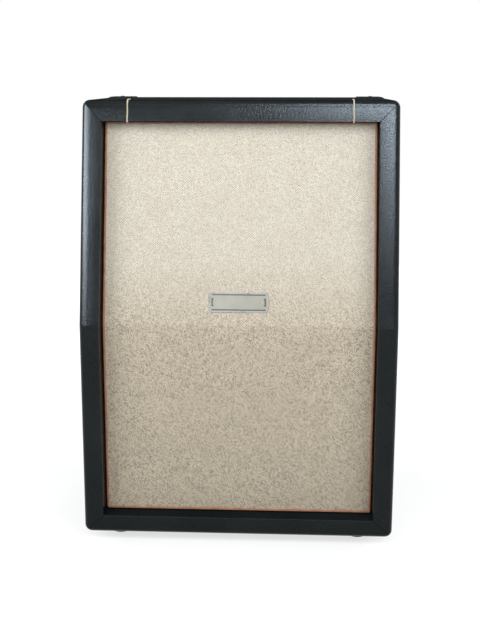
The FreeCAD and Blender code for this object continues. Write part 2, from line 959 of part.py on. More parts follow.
back_face = rear - s.back_inset
back_skin = back_face - s.cover
back_inner = back_skin - s.back_wall
back_edge = back_half - s.back_gap
back_z = (back_low + s.back_gap, back_high - s.back_gap)
side_shares = (0.1, 0.37, 0.63, 0.9)
end_shares = (-0.5, 0.5)
screw_line_x = inner_half - s.cleat / 2
screw_line_z = (inner_low + s.cleat / 2, inner_high - s.cleat / 2)
back_places = [
    (sign * screw_line_x, back_face, back_z[0] + (back_z[1] - back_z[0]) * share)
    for sign in SIDES.values()
    for share in side_shares
] + [(screw_line_x * share, back_face, z) for z in screw_line_z for share in end_shares]
back_made, back_holes = screws("back", "y", back_places, s.back_screw_length)
keep("back_screws", group("back_screws", back_made))

jack_z = bend + lower_up
jack_window = box(
    "jack_window",
    (-s.jack_window_width / 2, s.jack_window_width / 2),
    (back_inner - s.overrun, back_face + s.overrun),
    centred(jack_z, s.jack_window_height),
)
jack_edge_x = s.jack_plate_width / 2 - s.jack_screw_inset
jack_edge_z = s.jack_plate_height / 2 - s.jack_screw_inset
jack_face = back_face + s.jack_plate_thick
jack_places = [
    (turn_x * jack_edge_x, jack_face, jack_z + turn_z * jack_edge_z) for turn_x in (-1, 1) for turn_z in (-1, 1)
]
jack_made, jack_holes = screws("jack", "y", jack_places, s.screw_length)
trim_screws += jack_made
keep("trim_screws", group("trim_screws", trim_screws))

back_tools = [jack_window] + back_holes + jack_holes
panel = box("back_board", (-back_edge, back_edge), (back_inner, back_skin), back_z)
keep("back_panel", cut("back_panel", panel, back_tools))
skin_sheet = box("back_sheet", (-back_edge, back_edge), (back_skin, back_face), back_z)
keep("back_covering", cut("back_covering", skin_sheet, back_tools))

cleat_y = (back_inner - s.cleat, back_inner)
upright_z = (inner_low + s.cleat, inner_high - s.cleat)
back_cleats = [
    box("back_cleat_bottom", (-inner_half, inner_half), cleat_y, (inner_low, upright_z[0])),
    box("back_cleat_top", (-inner_half, inner_half), cleat_y, (upright_z[1], inner_high)),
    box("back_cleat_left", (-inner_half, -cleat_half), cleat_y, upright_z),
    box("back_cleat_right", (cleat_half, inner_half), cleat_y, upright_z),
]
drilled = [cut(f"{rail.Name}_drilled", rail, back_holes) for rail in back_cleats]
keep("back_cleats", group("back_cleats", drilled))

# Jack plate, socket and nut

plate = prism(
    "jack_plate_blank",
    "y",
    back_face,
    jack_face,
    [
        rectangle((-s.jack_plate_width / 2, s.jack_plate_width / 2), centred(jack_z, s.jack_plate_height)),
        (0, jack_z, s.jack_bush_radius + s.hole_clear),
    ],
)
fillet(plate, s.jack_plate_round, along((0, 1, 0)))
keep("jack_plate", cut("jack_plate", plate, jack_holes))

bush_length = s.jack_plate_thick + s.jack_nut_thick
socket = new_body("jack_socket")
body_side = (-s.jack_body / 2, s.jack_body / 2)
extrude(socket, "Pad", outline(socket, "XY_Plane", [rectangle(body_side, body_side)]), s.jack_body_length, True)
extrude(socket, "Pad", outline(socket, "XY_Plane", [(0, 0, s.jack_bush_radius)]), bush_length)
bore = outline(socket, "XY_Plane", [(0, 0, s.jack_bore_radius)], bush_length)
extrude(socket, "Pocket", bore, s.jack_bore_length)
keep("jack_socket", aim(socket, "y", 0, back_face, jack_z))


def hexagon(flats, u=0, v=0):
    # A hexagon stands on a flat; its corners follow from the width across flats.
    radius = flats / 2 / cosine(s.hexagon_angle)
    return [
        (
            sized(u) + radius * round(math.cos(math.radians(60 * step)), 6),
            sized(v) + flats / 2 * round(math.sin(math.radians(60 * step)) / math.sin(math.radians(60)), 6),
        )
        for step in range(6)
    ]


nut_hole = s.jack_bush_radius + s.hole_clear
nut = prism("jack_nut", "z", s.jack_plate_thick, bush_length, [hexagon(s.jack_nut_flats), (0, 0, nut_hole)])
nut.setExpression("Placement.Base.z", None)
keep("jack_nut", aim(nut, "y", 0, jack_face, jack_z))

# Baffle boards, each with its driver cut-out and bolt holes

board_corners = {
    "upper": [
        (slope_y(board_face, bend_at(board_face)), bend_at(board_face)),
        on_slope(board_face, slope_top),
        on_slope(seat, slope_top),
        (slope_y(seat, bend_at(seat)), bend_at(seat)),
    ],
    "lower": [
        (front + board_face, board_low),
        (front + board_face, bend_at(board_face)),
        (front + seat, bend_at(seat)),
        (front + seat, board_low),
    ],
}
bolt_side = bolt_circle_radius * cosine(s.bolt_angle)
bolt_spots = [(u * bolt_side, v * bolt_side) for u in (-1, 1) for v in (-1, 1)]


def bolt_set(label, spread):
    # The bolts' heads lie flush in the board's face, under the cloth.
    body = new_body(label)
    heads = [(u, v, s.bolt_head_radius + spread) for u, v in bolt_spots]
    shanks = [(u, v, s.bolt_radius + spread) for u, v in bolt_spots]
    head_floor = s.bolt_head_thick - s.baffle
    extrude(body, "Pad", outline(body, "XY_Plane", heads, -s.baffle), s.bolt_head_thick)
    extrude(body, "Pad", outline(body, "XY_Plane", shanks, head_floor), s.bolt_reach - head_floor)
    return body


bolts, nuts, gaskets, strips = [], [], [], []
bolt_room = {}
for name, (upper, up) in drivers.items():
    bolts.append(face_frame(bolt_set(f"bolts_{name}", sized(0)), upper, seat, up))
    bolt_room[name] = face_frame(bolt_set(f"bolt_room_{name}", s.hole_clear), upper, seat, up)
keep("speaker_bolts", group("speaker_bolts", bolts))

# Name plate on the cloth, just above the bend

badge_side = s.badge_width / 2
badge_end = s.badge_height / 2


def notched(width, height, notch):
    # Rectangle with a square step out of each corner.
    quarter = [(width, height - notch), (width - notch, height - notch), (width - notch, height)]
    return (
        quarter
        + [(-u, v) for u, v in reversed(quarter)]
        + [(-u, -v) for u, v in quarter]
        + [(u, -v) for u, v in reversed(quarter)]
    )


pin_places = [(sign * (badge_side - s.badge_pin_inset), 0) for sign in SIDES.values()]


def badge_pins(label, spread):
    body = new_body(label)
    sunk = s.badge_sunk - s.badge_thick
    shanks = [(u, v, s.badge_pin_shank + spread) for u, v in pin_places]
    extrude(body, "Pad", outline(body, "XY_Plane", shanks, sunk), s.badge_pin_length)
    return body, sunk


plate_body = new_body("badge_blank")
extrude(
    plate_body,
    "Pad",
    outline(plate_body, "XY_Plane", [notched(badge_side, badge_end, s.badge_notch)]),
    s.badge_thick,
    True,
)
field = notched(badge_side - s.badge_rim, badge_end - s.badge_rim, s.badge_notch)
extrude(plate_body, "Pocket", outline(plate_body, "XY_Plane", [field], -s.badge_thick), s.badge_sunk, True)
face_frame(plate_body, True, s.recess, s.badge_up)
pin_body, pin_floor = badge_pins("badge_pin_set", sized(0))
heads = [(u, v, s.badge_pin_head) for u, v in pin_places]
extrude(pin_body, "Pad", outline(pin_body, "XY_Plane", heads, pin_floor), s.badge_pin_proud, True)
face_frame(pin_body, True, s.recess, s.badge_up)
pin_room = face_frame(badge_pins("badge_pin_room", s.hole_clear)[0], True, s.recess, s.badge_up)
keep("badge_plate", cut("badge_plate", plate_body, [pin_room]))
keep("badge_pins", pin_body)

for name, (upper, up) in drivers.items():
    board = prism(f"{name}_board", "x", -board_half, board_half, [board_corners[name]])
    hole = turned(
        f"{name}_cutout",
        rectangle((0, driver_cutout_radius), (-(s.baffle + s.overrun), s.overrun)),
    )
    face_frame(hole, upper, seat, up)
    tools = [hole, bolt_room[name]] + ([pin_room] if upper else [])
    keep(f"baffle_{name}", cut(f"baffle_{name}", board, tools))

# Cloth stretched over the boards, and the bead round its edge


def cloth_block(label, offset, spread, deepest):
    corners = [
        (front + offset, board_low - spread),
        (front + offset, bend_at(offset)),
        on_slope(offset, slope_top + spread),
        on_slope(deepest, slope_top + spread),
        (front + deepest, bend_at(deepest)),
        (front + deepest, board_low - spread),
    ]
    return prism(label, "x", -(board_half + spread), board_half + spread, [corners])


cloth_outer = cloth_block("cloth_outer", s.recess, s.cloth, seat)
cloth_inner = cloth_block("cloth_inner", board_face, sized(0), seat + s.overrun)
keep("grille_cloth", cut("grille_cloth", cloth_outer, [cloth_inner, pin_room]))

bead_offset = s.recess - s.grille_bead
bead_half = opening_half - s.grille_bead_inset - s.grille_bead
bead_low = opening_low + s.grille_bead_inset + s.grille_bead
bead_top = slope_top + s.cloth - s.grille_bead
bead_top_y, bead_top_z = on_slope(bead_offset, bead_top)
bead_corners = [
    spot(-bead_half, front + bead_offset, bead_low),
    spot(bead_half, front + bead_offset, bead_low),
    spot(bead_half, front + bead_offset, bend_at(bead_offset)),
    spot(bead_half, bead_top_y, bead_top_z),
    spot(-bead_half, bead_top_y, bead_top_z),
    spot(-bead_half, front + bead_offset, bend_at(bead_offset)),
]
corner_turn, bend_turn = s.grille_bead_corner.value, s.grille_bead_bend.value
bead_radii = [corner_turn, corner_turn, bend_turn, corner_turn, corner_turn, bend_turn]
keep("grille_piping", cord("grille_piping", bead_corners, s.grille_bead, bead_radii, closed=True))

# Drivers. Each profile is (radius, depth) and turns about the driver's axis.

flange_back = s.gasket_thick + s.frame_sheet
rim_back = flange_back + s.frame_sheet
seat_back = s.frame_seat_depth + s.frame_sheet
wall_depth = flange_back + s.rim_wall_depth
frame_corners = [
    (frame_radius, s.gasket_thick),
    (frame_radius, flange_back),
    (rim_outer_radius, flange_back),
    (rim_outer_radius, rim_back),
    (rim_inner_radius + s.frame_sheet, rim_back),
    (rim_wall_radius + s.frame_sheet, wall_depth),
    (s.frame_seat_radius + s.frame_sheet, s.frame_seat_depth),
    (s.frame_seat_radius, seat_back),
    (s.frame_hole_radius, seat_back),
    (s.frame_hole_radius, s.frame_seat_depth),
    (s.frame_seat_radius - s.frame_sheet, s.frame_seat_depth),
    (rim_wall_radius, wall_depth),
    (rim_inner_radius, flange_back),
    (gasket_inner_radius, flange_back),
    (gasket_inner_radius, s.gasket_thick),
]
gasket_corners = rectangle((gasket_inner_radius, gasket_outer_radius), (0, s.gasket_thick))

# Cone: a shallow curve from the neck to the edge, drawn at shares of its width and depth.
cone_shares = ((0.0, 1.0), (0.14, 0.79), (0.35, 0.53), (0.58, 0.3), (0.8, 0.12), (1.0, 0.0))
neck_radius = s.coil_radius + s.coil_former
cone_span = cone_radius - neck_radius
cone_line = [
    (neck_radius + cone_span * out, s.cone_front + s.cone_depth * deep) for out, deep in cone_shares
]
cone_corners = (
    cone_line
    + [(u, v + s.cone_sheet) for u, v in reversed(cone_line[1:])]
    + [(neck_radius + s.cone_sheet, cone_line[0][1] + s.cone_neck), (neck_radius, cone_line[0][1] + s.cone_neck)]
)

# The cap's rim lies on the cone's second straight, so it takes its depth from there.
(rim_u, rim_v), (next_u, next_v) = cone_line[0], cone_line[1]
cone_fall = (rim_v - next_v) / (next_u - rim_u)


def cone_depth_at(radius):
    return next_v + (next_u - radius) * cone_fall


cap_depth = cone_depth_at(s.cap_radius)
cap_inner = s.cap_radius - s.cap_sheet
cap_shares = ((0.92, 0.2), (0.68, 0.57), (0.36, 0.88), (0.0, 1.0))
cap_line = [(s.cap_radius * out, cap_depth - s.cap_rise * rise) for out, rise in cap_shares[:-1]]
cap_peak = cap_depth - s.cap_rise
cap_corners = (
    [(s.cap_radius, cap_depth)]
    + cap_line
    + [(0, cap_peak), (0, cap_peak + s.cap_sheet)]
    + [(u, v + s.cap_sheet) for u, v in reversed(cap_line[1:])]
    + [(cap_inner, cone_depth_at(cap_inner))]
)

# Coil: a former with a winding that sits in the magnet's gap.
gap_front = seat_back
former_end = s.coil_front + s.coil_length
winding_mid = gap_front + s.front_plate_thick / 2
winding = (winding_mid - s.coil_winding_length / 2, winding_mid + s.coil_winding_length / 2)
winding_radius = neck_radius + s.coil_winding
coil_corners = [
    (s.coil_radius, s.coil_front),
    (neck_radius, s.coil_front),
    (neck_radius, winding[0]),
    (winding_radius, winding[0]),
    (winding_radius, winding[1]),
    (neck_radius, winding[1]),
    (neck_radius, former_end),
    (s.coil_radius, former_end),
]

# Motor: front plate, ring magnet, and a back plate with the pole.
plate_back = gap_front + s.front_plate_thick
magnet_back = plate_back + s.magnet_thick
motor_back = magnet_back + s.back_plate_thick
pole_radius = s.coil_radius - s.coil_gap
front_plate_corners = rectangle((winding_radius + s.coil_gap, s.front_plate_radius), (gap_front, plate_back))
magnet_corners = rectangle((s.magnet_inner_radius, s.magnet_radius), (plate_back, magnet_back))
pole_corners = [
    (s.vent_radius, gap_front),
    (pole_radius, gap_front),
    (pole_radius, magnet_back),
    (s.back_plate_radius, magnet_back),
    (s.back_plate_radius, motor_back),
    (s.vent_radius, motor_back),
]

# Cone edge and spider: thin rings that flex, clear of the cone and coil by the glue line.
edge_inner = cone_radius + s.glue_gap
edge_span = rim_inner_radius - edge_inner
edge_front = flange_back - s.edge_sheet
edge_shares = ((0.0, -2.0), (0.2, 0.4), (0.45, 1.0), (0.75, 0.7), (1.05, 0.0))
edge_line = [(edge_inner + edge_span * out, edge_front - s.edge_roll * rise) for out, rise in edge_shares]
edge_corners = (
    edge_line
    + [(edge_land_radius, edge_front), (edge_land_radius, flange_back)]
    + [(u, v + s.edge_sheet) for u, v in reversed(edge_line)]
)
spider_inner = neck_radius + s.spider_clear
spider_front = s.frame_seat_depth - s.spider_sheet
spider_span = s.spider_radius - s.spider_land - spider_inner
spider_shares = ((0.0, 1.0), (0.17, 0.3), (0.34, 1.2), (0.51, 0.3), (0.68, 1.2), (0.84, 0.3), (1.0, 0.0))
spider_line = [
    (spider_inner + spider_span * out, spider_front - s.spider_wave * rise) for out, rise in spider_shares
]
spider_corners = (
    spider_line
    + [(s.spider_radius, spider_front), (s.spider_radius, s.frame_seat_depth)]
    + [(u, v + s.spider_sheet) for u, v in reversed(spider_line)]
)


def frame_windows(label):
    body = new_body(label)
    inner, outer = s.window_inner_radius, window_outer_radius
    swing = s.window_half_angle
    corners = [
        (inner * cosine(swing), -(inner * sine(swing))),
        (outer * cosine(swing), -(outer * sine(swing))),
        (outer * cosine(swing), outer * sine(swing)),
        (inner * cosine(swing), inner * sine(swing)),
    ]
    first = extrude(body, "Pad", outline(body, "XY_Plane", [corners]), seat_back + s.overrun)
    doc.recompute()
    ring = body.newObject("PartDesign::PolarPattern", "Pattern")
    ring.Originals = [first]
    ring.Axis = (origin_of(body, "Z_Axis"), [""])
    ring.Angle = 360
    ring.Occurrences = WINDOWS
    body.Tip = ring
    return body


def terminal_strip(label):
    # A board on the frame's seat, with two upright lugs.
    body = new_body(label)
    board = rectangle((s.strip_inner, s.strip_outer), (-s.strip_width / 2, s.strip_width / 2))
    extrude(body, "Pad", outline(body, "XY_Plane", [board], seat_back), s.strip_thick)
    lugs = [
        rectangle(
            (s.strip_outer - s.lug_thick, s.strip_outer),
            centred(sign * s.lug_spacing / 2, s.lug_width),
        )
        for sign in SIDES.values()
    ]
    extrude(body, "Pad", outline(body, "XY_Plane", lugs, seat_back), s.strip_thick + s.lug_height)
    return body


turned_pieces = {
    "cone": cone_corners,
    "cone_edge": edge_corners,
    "dust_cap": cap_corners,
    "voice_coil": coil_corners,
    "spider": spider_corners,
    "magnet": magnet_corners,
    "pole_plate": pole_corners,
}
front_plates = []
for name, (upper, up) in drivers.items():
    for piece, corners in turned_pieces.items():
        keep(f"{piece}_{name}", face_frame(turned(f"{piece}_{name}", corners), upper, seat, up))
    front_plates.append(face_frame(turned(f"front_plate_{name}", front_plate_corners), upper, seat, up))
    frame = face_frame(turned(f"frame_{name}", frame_corners), upper, seat, up)
    windows = face_frame(frame_windows(f"windows_{name}"), upper, seat, up)
    keep(f"basket_{name}", cut(f"basket_{name}", frame, [windows, bolt_room[name]]))
    ring = face_frame(turned(f"gasket_{name}", gasket_corners), upper, seat, up)
    gaskets.append(cut(f"gasket_ring_{name}", ring, [bolt_room[name]]))
    strips.append(face_frame(terminal_strip(f"strip_{name}"), upper, seat, up))
    hexagons = [hexagon(s.nut_flats, u, v) for u, v in bolt_spots]
    nut_holes = [(u, v, s.bolt_radius + s.hole_clear) for u, v in bolt_spots]
    nut_body = new_body(f"nuts_{name}")
    extrude(nut_body, "Pad", outline(nut_body, "XY_Plane", hexagons + nut_holes, flange_back), s.nut_thick)
    nuts.append(face_frame(nut_body, upper, seat, up))
keep("speaker_front_plates", group("speaker_front_plates", front_plates))
keep("speaker_gaskets", group("speaker_gaskets", gaskets))
keep("terminal_strips", group("terminal_strips", strips))
keep("speaker_nuts", group("speaker_nuts", nuts))

# Leads from the socket to the terminal strips, clipped to the right side wall

lead_room = s.lead_radius + s.loose_clear
lead_wall = inner_half - s.clip_floor - lead_room
lead_start = back_face - s.jack_body_length
lead_turn = back_inner - s.lead_back
strip_reach = s.strip_outer + s.lead_radius
lug_depth = seat + seat_back + s.strip_thick + s.lug_height / 2
upper_y, upper_z = on_slope(lug_depth, upper_up)
lower_y, lower_z = front + lug_depth, bend + lower_up
lead_high = handle_z + s.handle_cup_height / 2 + s.lead_over_gap
spread = s.lead_spread
lead_routes = {
    "lower": [
        spot(spread, lead_start, jack_z - spread),
        spot(spread, lead_turn, jack_z - spread),
        spot(lead_wall, lead_turn, jack_z - spread),
        spot(lead_wall, lower_y, jack_z - spread),
        spot(strip_reach, lower_y, lower_z),
    ],
    "upper": [
        spot(spread, lead_start, jack_z + spread),
        spot(spread, lead_turn, jack_z + spread),
        spot(lead_wall, lead_turn, jack_z + spread),
        spot(lead_wall, lead_turn, lead_high),
        spot(lead_wall, upper_y, lead_high),
        spot(strip_reach, upper_y, upper_z),
    ],
}
leads = []
for name, route in lead_routes.items():
    leads.append(cord(f"lead_{name}", route, s.lead_radius, [s.lead_bend.value] * len(route)))
keep("speaker_leads", group("speaker_leads", leads))

clip_share = 0.5
clip_span = (inner_half - s.clip_height, inner_half)
clip_mid_y = lead_turn + (lower_y - lead_turn) * clip_share
clip_high_y = lead_turn + (upper_y - lead_turn) * clip_share
clip_mid_z = jack_z + (lead_high - jack_z) * clip_share
clips = []
for name, way, y, z in (
    ("low", "y", clip_mid_y, jack_z - spread),
    ("high", "y", clip_high_y, lead_high),
    ("rise", "z", lead_turn, clip_mid_z),
):
    lengths = {"y": (s.clip_length, s.clip_width), "z": (s.clip_width, s.clip_length)}[way]
    block = box(f"clip_{name}_block", clip_span, centred(y, lengths[0]), centred(z, lengths[1]))
    hole = turned(f"clip_{name}_hole", rectangle((0, lead_room), (-s.clip_length, s.clip_length)))
    clips.append(cut(f"clip_{name}", block, [aim(hole, way, lead_wall, y, z)]))
keep("lead_clips", group("lead_clips", clips))

doc.recompute()

for item in doc.Objects:
    if "Invalid" in item.State or "Error" in item.State:
        raise RuntimeError(f"{item.Name} ({item.Label}) did not recompute: {item.State}")
os.makedirs("parts", exist_ok=True)
for label, item in parts.items():
    shape = item.Shape
    if shape.isNull() or not shape.isValid() or not shape.Solids:
        raise RuntimeError(f"{label} has no sound solid")
    shape.exportStep(f"parts/{label}.step")
print(len(parts), "nodes written")
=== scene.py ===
import json
import math

import bmesh
import bpy
from mathutils import Matrix, Vector, noise


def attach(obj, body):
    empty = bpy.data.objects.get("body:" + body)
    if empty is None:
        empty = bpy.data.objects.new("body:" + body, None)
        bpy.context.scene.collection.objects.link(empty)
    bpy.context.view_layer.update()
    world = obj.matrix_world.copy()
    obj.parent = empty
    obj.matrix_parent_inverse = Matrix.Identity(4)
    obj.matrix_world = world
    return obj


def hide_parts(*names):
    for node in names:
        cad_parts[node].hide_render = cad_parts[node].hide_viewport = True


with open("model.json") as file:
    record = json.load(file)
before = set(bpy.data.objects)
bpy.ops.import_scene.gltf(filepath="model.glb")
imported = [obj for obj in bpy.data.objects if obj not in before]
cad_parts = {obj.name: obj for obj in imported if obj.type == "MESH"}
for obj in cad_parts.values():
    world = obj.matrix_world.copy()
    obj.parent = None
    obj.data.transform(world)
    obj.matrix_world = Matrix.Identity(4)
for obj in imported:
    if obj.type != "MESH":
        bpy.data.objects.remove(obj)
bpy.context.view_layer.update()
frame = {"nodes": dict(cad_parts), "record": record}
nodes = frame["nodes"]
scene = bpy.context.scene
scene.view_settings.view_transform = "Standard"
print("stage: frame loaded,", len(nodes), "nodes")

# the front face in metres: upright up to the bend, then leaning back
face = {
    "front": -0.1835, "bend": 0.369, "slant": math.radians(13.0), "recess": 0.030,
    "openHalf": 0.2230, "openLow": 0.0460, "openHigh": 0.6905,
    "half": 0.255, "low": 0.016, "high": 0.724,
}
upSlope = Vector((0, math.sin(face["slant"]), math.cos(face["slant"])))
outSlope = Vector((0, -math.cos(face["slant"]), math.sin(face["slant"])))


def onSlope(offset, up):
    return Vector((0, face["front"], face["bend"])) + upSlope * up - outSlope * offset


# small helpers for the node trees
def startFinish(name):
    material = bpy.data.materials.new(name)
    material.use_nodes = True
    tree = material.node_tree
    tree.nodes.clear()
    output = tree.nodes.new("ShaderNodeOutputMaterial")
    skin = tree.nodes.new("ShaderNodeBsdfPrincipled")
    tree.links.new(skin.outputs["BSDF"], output.inputs["Surface"])
    return material, tree, skin


def put(tree, kind, inputs=None, **settings):
    node = tree.nodes.new(kind)
    for name, value in settings.items():
        setattr(node, name, value)
    for key, value in (inputs or {}).items():
        if isinstance(value, bpy.types.NodeSocket):
            tree.links.new(value, node.inputs[key])
        else:
            node.inputs[key].default_value = value
    return node


def objectSpot(tree, stretch=(1, 1, 1)):
    spot = put(tree, "ShaderNodeTexCoord").outputs["Object"]
    return put(tree, "ShaderNodeMapping", {"Vector": spot, "Scale": stretch}).outputs[0]


def cloud(tree, spot, scale, detail=3.0, rough=0.55, twist=0.0):
    inputs = {"Vector": spot, "Scale": scale, "Detail": detail, "Roughness": rough, "Distortion": twist}
    return put(tree, "ShaderNodeTexNoise", inputs).outputs["Fac"]


def cells(tree, spot, scale, feature):
    inputs = {"Vector": spot, "Scale": scale, "Randomness": 1.0}
    return put(tree, "ShaderNodeTexVoronoi", inputs, feature=feature).outputs["Distance"]


def calc(tree, operation, first, second=0.0):
    return put(tree, "ShaderNodeMath", {0: first, 1: second}, operation=operation).outputs[0]


def spread(tree, value, low, high, toLow=0.0, toHigh=1.0):
    inputs = {"Value": value, "From Min": low, "From Max": high, "To Min": toLow, "To Max": toHigh}
    return put(tree, "ShaderNodeMapRange", inputs).outputs[0]


def blendColour(tree, share, first, second, way="MIX"):
    node = put(tree, "ShaderNodeMix", data_type="RGBA", blend_type=way)
    for index, value in ((0, share), (6, first), (7, second)):
        if isinstance(value, bpy.types.NodeSocket):
            tree.links.new(value, node.inputs[index])
        elif index:
            node.inputs[index].default_value = (*value, 1.0)
        else:
            node.inputs[index].default_value = value
    return node.outputs[2]


def relief(tree, skin, height, depth, strength=1.0):
    inputs = {"Height": height, "Distance": depth, "Strength": strength}
    bump = put(tree, "ShaderNodeBump", inputs)
    tree.links.new(bump.outputs[0], skin.inputs["Normal"])


def finishSkin(tree, skin, inputs):
    for key, value in inputs.items():
        if isinstance(value, bpy.types.NodeSocket):
            tree.links.new(value, skin.inputs[key])
        else:
            skin.inputs[key].default_value = (*value, 1.0) if isinstance(value, tuple) else value


# how deep a point lies behind the bent front, and how far out from the front opening
def frontDepth(tree):
    axes = put(tree, "ShaderNodeSeparateXYZ", {0: objectSpot(tree)}).outputs
    flat = calc(tree, "SUBTRACT", axes[1], face["front"])
    rise = calc(tree, "MULTIPLY", calc(tree, "SUBTRACT", axes[2], face["bend"]), math.sin(face["slant"]))
    sloped = calc(tree, "SUBTRACT", calc(tree, "MULTIPLY", flat, math.cos(face["slant"])), rise)
    return calc(tree, "MINIMUM", flat, sloped)


def pastOpening(tree):
    axes = put(tree, "ShaderNodeSeparateXYZ", {0: objectSpot(tree)}).outputs
    side = calc(tree, "SUBTRACT", calc(tree, "ABSOLUTE", axes[0]), face["openHalf"])
    below = calc(tree, "SUBTRACT", face["openLow"], axes[2])
    above = calc(tree, "SUBTRACT", axes[2], face["openHigh"])
    return calc(tree, "MAXIMUM", side, calc(tree, "MAXIMUM", below, above))


def mitreLine(tree, width):  # one on the mitred seams of the front corners, nothing beside them
    axes = put(tree, "ShaderNodeSeparateXYZ", {0: objectSpot(tree)}).outputs
    side = spread(tree, calc(tree, "ABSOLUTE", axes[0]), face["openHalf"], face["half"])
    below = spread(tree, axes[2], face["openLow"], face["low"])
    above = spread(tree, axes[2], face["openHigh"], face["high"])
    apart = calc(tree, "ABSOLUTE", calc(tree, "SUBTRACT", side, calc(tree, "MAXIMUM", below, above)))
    apart = calc(tree, "MULTIPLY", apart, face["half"] - face["openHalf"])
    line = spread(tree, apart, width * 0.5, width, 1.0, 0.0)
    return calc(tree, "MULTIPLY", line, calc(tree, "GREATER_THAN", side, 0.0))


leatherclothSettings = {
    "dark": (0.0040, 0.0054, 0.0058), "light": (0.0098, 0.0126, 0.0132), "worn": (0.026, 0.029, 0.030),
    "grain": 460.0, "creaseShare": 0.42, "fine": 2600.0, "patch": 9.0, "grainDepth": 0.00025, "relief": 0.70,
    "wander": {"scale": 240.0, "reach": 0.0022}, "rough": (0.19, 0.27), "dusty": 0.90, "gloss": 0.112,
    "rubbed": {"run": (0.0004, 0.0019), "scale": 120.0},
    "seam": {"width": 0.0009, "colour": (0.0006, 0.0007, 0.0008)},
    "crown": {"middle": 0.011, "width": 0.024, "curve": 2.0},
    "shoulder": {"start": 0.0185, "width": 0.0055, "slope": 0.13},
}


def makeLeathercloth(name, given):
    material, tree, skin = startFinish(name)
    spot = objectSpot(tree)
    warp = cloud(tree, spot, given["wander"]["scale"], 2.0)
    reach = [given["wander"]["reach"]] * 3
    offset = put(tree, "ShaderNodeVectorMath", {0: warp, 1: reach}, operation="MULTIPLY")
    moved = put(tree, "ShaderNodeVectorMath", {0: spot, 1: offset.outputs[0]}, operation="ADD").outputs[0]
    pebble = cells(tree, moved, given["grain"], "SMOOTH_F1")
    crease = cells(tree, moved, given["grain"] * given["creaseShare"], "DISTANCE_TO_EDGE")
    fine = cloud(tree, spot, given["fine"], 2.0)
    valley = spread(tree, crease, 0.0, 0.16)
    height = calc(tree, "ADD", calc(tree, "MULTIPLY", pebble, -0.7), calc(tree, "MULTIPLY", valley, 0.35))
    height = calc(tree, "ADD", height, calc(tree, "MULTIPLY", fine, 0.2))
    patch = cloud(tree, spot, given["patch"], 4.0)
    tone = spread(tree, calc(tree, "ADD", patch, calc(tree, "MULTIPLY", valley, 0.35)), 0.35, 1.05)
    colour = blendColour(tree, tone, given["dark"], given["light"])
    edge = calc(tree, "ADD", pastOpening(tree), frontDepth(tree))  # the fold into the opening is rubbed
    uneven = spread(tree, cloud(tree, spot, given["rubbed"]["scale"], 3.0), 0.3, 0.7, 0.25, 1.0)
    rubbed = calc(tree, "MULTIPLY", spread(tree, edge, *given["rubbed"]["run"], 1.0, 0.0), uneven)
    colour = blendColour(tree, rubbed, colour, given["worn"])
    colour = blendColour(tree, mitreLine(tree, given["seam"]["width"]), colour, given["seam"]["colour"])
    rough = calc(tree, "ADD", patch, calc(tree, "MULTIPLY", fine, 0.4))
    rough = spread(tree, rough, 0.4, 1.0, *given["rough"])
    normal = put(tree, "ShaderNodeTexCoord").outputs["Normal"]
    upward = put(tree, "ShaderNodeSeparateXYZ", {0: normal}).outputs[2]
    dust = spread(tree, upward, 0.72, 0.97)  # the top gathers dust and goes matt
    rough = put(tree, "ShaderNodeMix", {0: dust, 2: rough, 3: given["dusty"]}).outputs[0]
    finishSkin(tree, skin, {"Base Color": colour, "Roughness": rough, "Specular IOR Level": given["gloss"]})
    relief(tree, skin, height, given["grainDepth"], given["relief"])
    crown = given["crown"]  # the rails round off softly towards the outside
    run = calc(tree, "MINIMUM", calc(tree, "MAXIMUM", pastOpening(tree), 0.0), crown["width"])
    run = calc(tree, "SUBTRACT", run, crown["middle"])
    dome = calc(tree, "MULTIPLY", calc(tree, "MULTIPLY", run, run), -crown["curve"])
    shoulder = given["shoulder"]  # and turn over before the rounded edge
    past = calc(tree, "MAXIMUM", calc(tree, "SUBTRACT", pastOpening(tree), shoulder["start"]), 0.0)
    bent = calc(tree, "MINIMUM", past, shoulder["width"])
    steepening = -0.5 * shoulder["slope"] / shoulder["width"]
    bent = calc(tree, "MULTIPLY", calc(tree, "MULTIPLY", bent, bent), steepening)
    straight = calc(tree, "MAXIMUM", calc(tree, "SUBTRACT", past, shoulder["width"]), 0.0)
    bent = calc(tree, "SUBTRACT", bent, calc(tree, "MULTIPLY", straight, shoulder["slope"]))
    dome = calc(tree, "ADD", dome, bent)
    soft = put(tree, "ShaderNodeBump", {"Height": dome, "Distance": 1.0, "Strength": 1.0})
    grain = skin.inputs["Normal"].links[0].from_node
    tree.links.new(soft.outputs[0], grain.inputs["Normal"])
    return material


clothSettings = {
    "thread": 0.00098, "twill": 4.0, "warp": ((0.82, 0.765, 0.660), (0.64, 0.58, 0.475)),
    "weft": ((0.75, 0.68, 0.56), (0.32, 0.26, 0.195)), "depth": 0.00022,
    "waver": {"scale": 70.0, "reach": 0.0014}, "slub": {"along": 0.11, "apart": 3.7},
    "broad": {"scale": 26.0, "colour": (0.36, 0.29, 0.22), "most": 0.13},
    # painted shade on the lower cloth: a darker, warmer tint below the bend
    "shadeBelow": {"run": (0.42, 0.30), "tint": (0.925, 0.875, 0.805)},
    "fleck": {
        "size": (0.0017, 0.0019), "share": (0.55, 1.0), "colour": (0.235, 0.195, 0.165), "most": (0.20, 0.85),
        "drift": {"scale": 330.0, "reach": 0.0016},
    },
}


def luckOf(tree, column, row):  # one random share for each cell
    where = put(tree, "ShaderNodeCombineXYZ", {0: column, 1: row}).outputs[0]
    return put(tree, "ShaderNodeTexWhiteNoise", {"Vector": where}, noise_dimensions="2D").outputs["Value"]


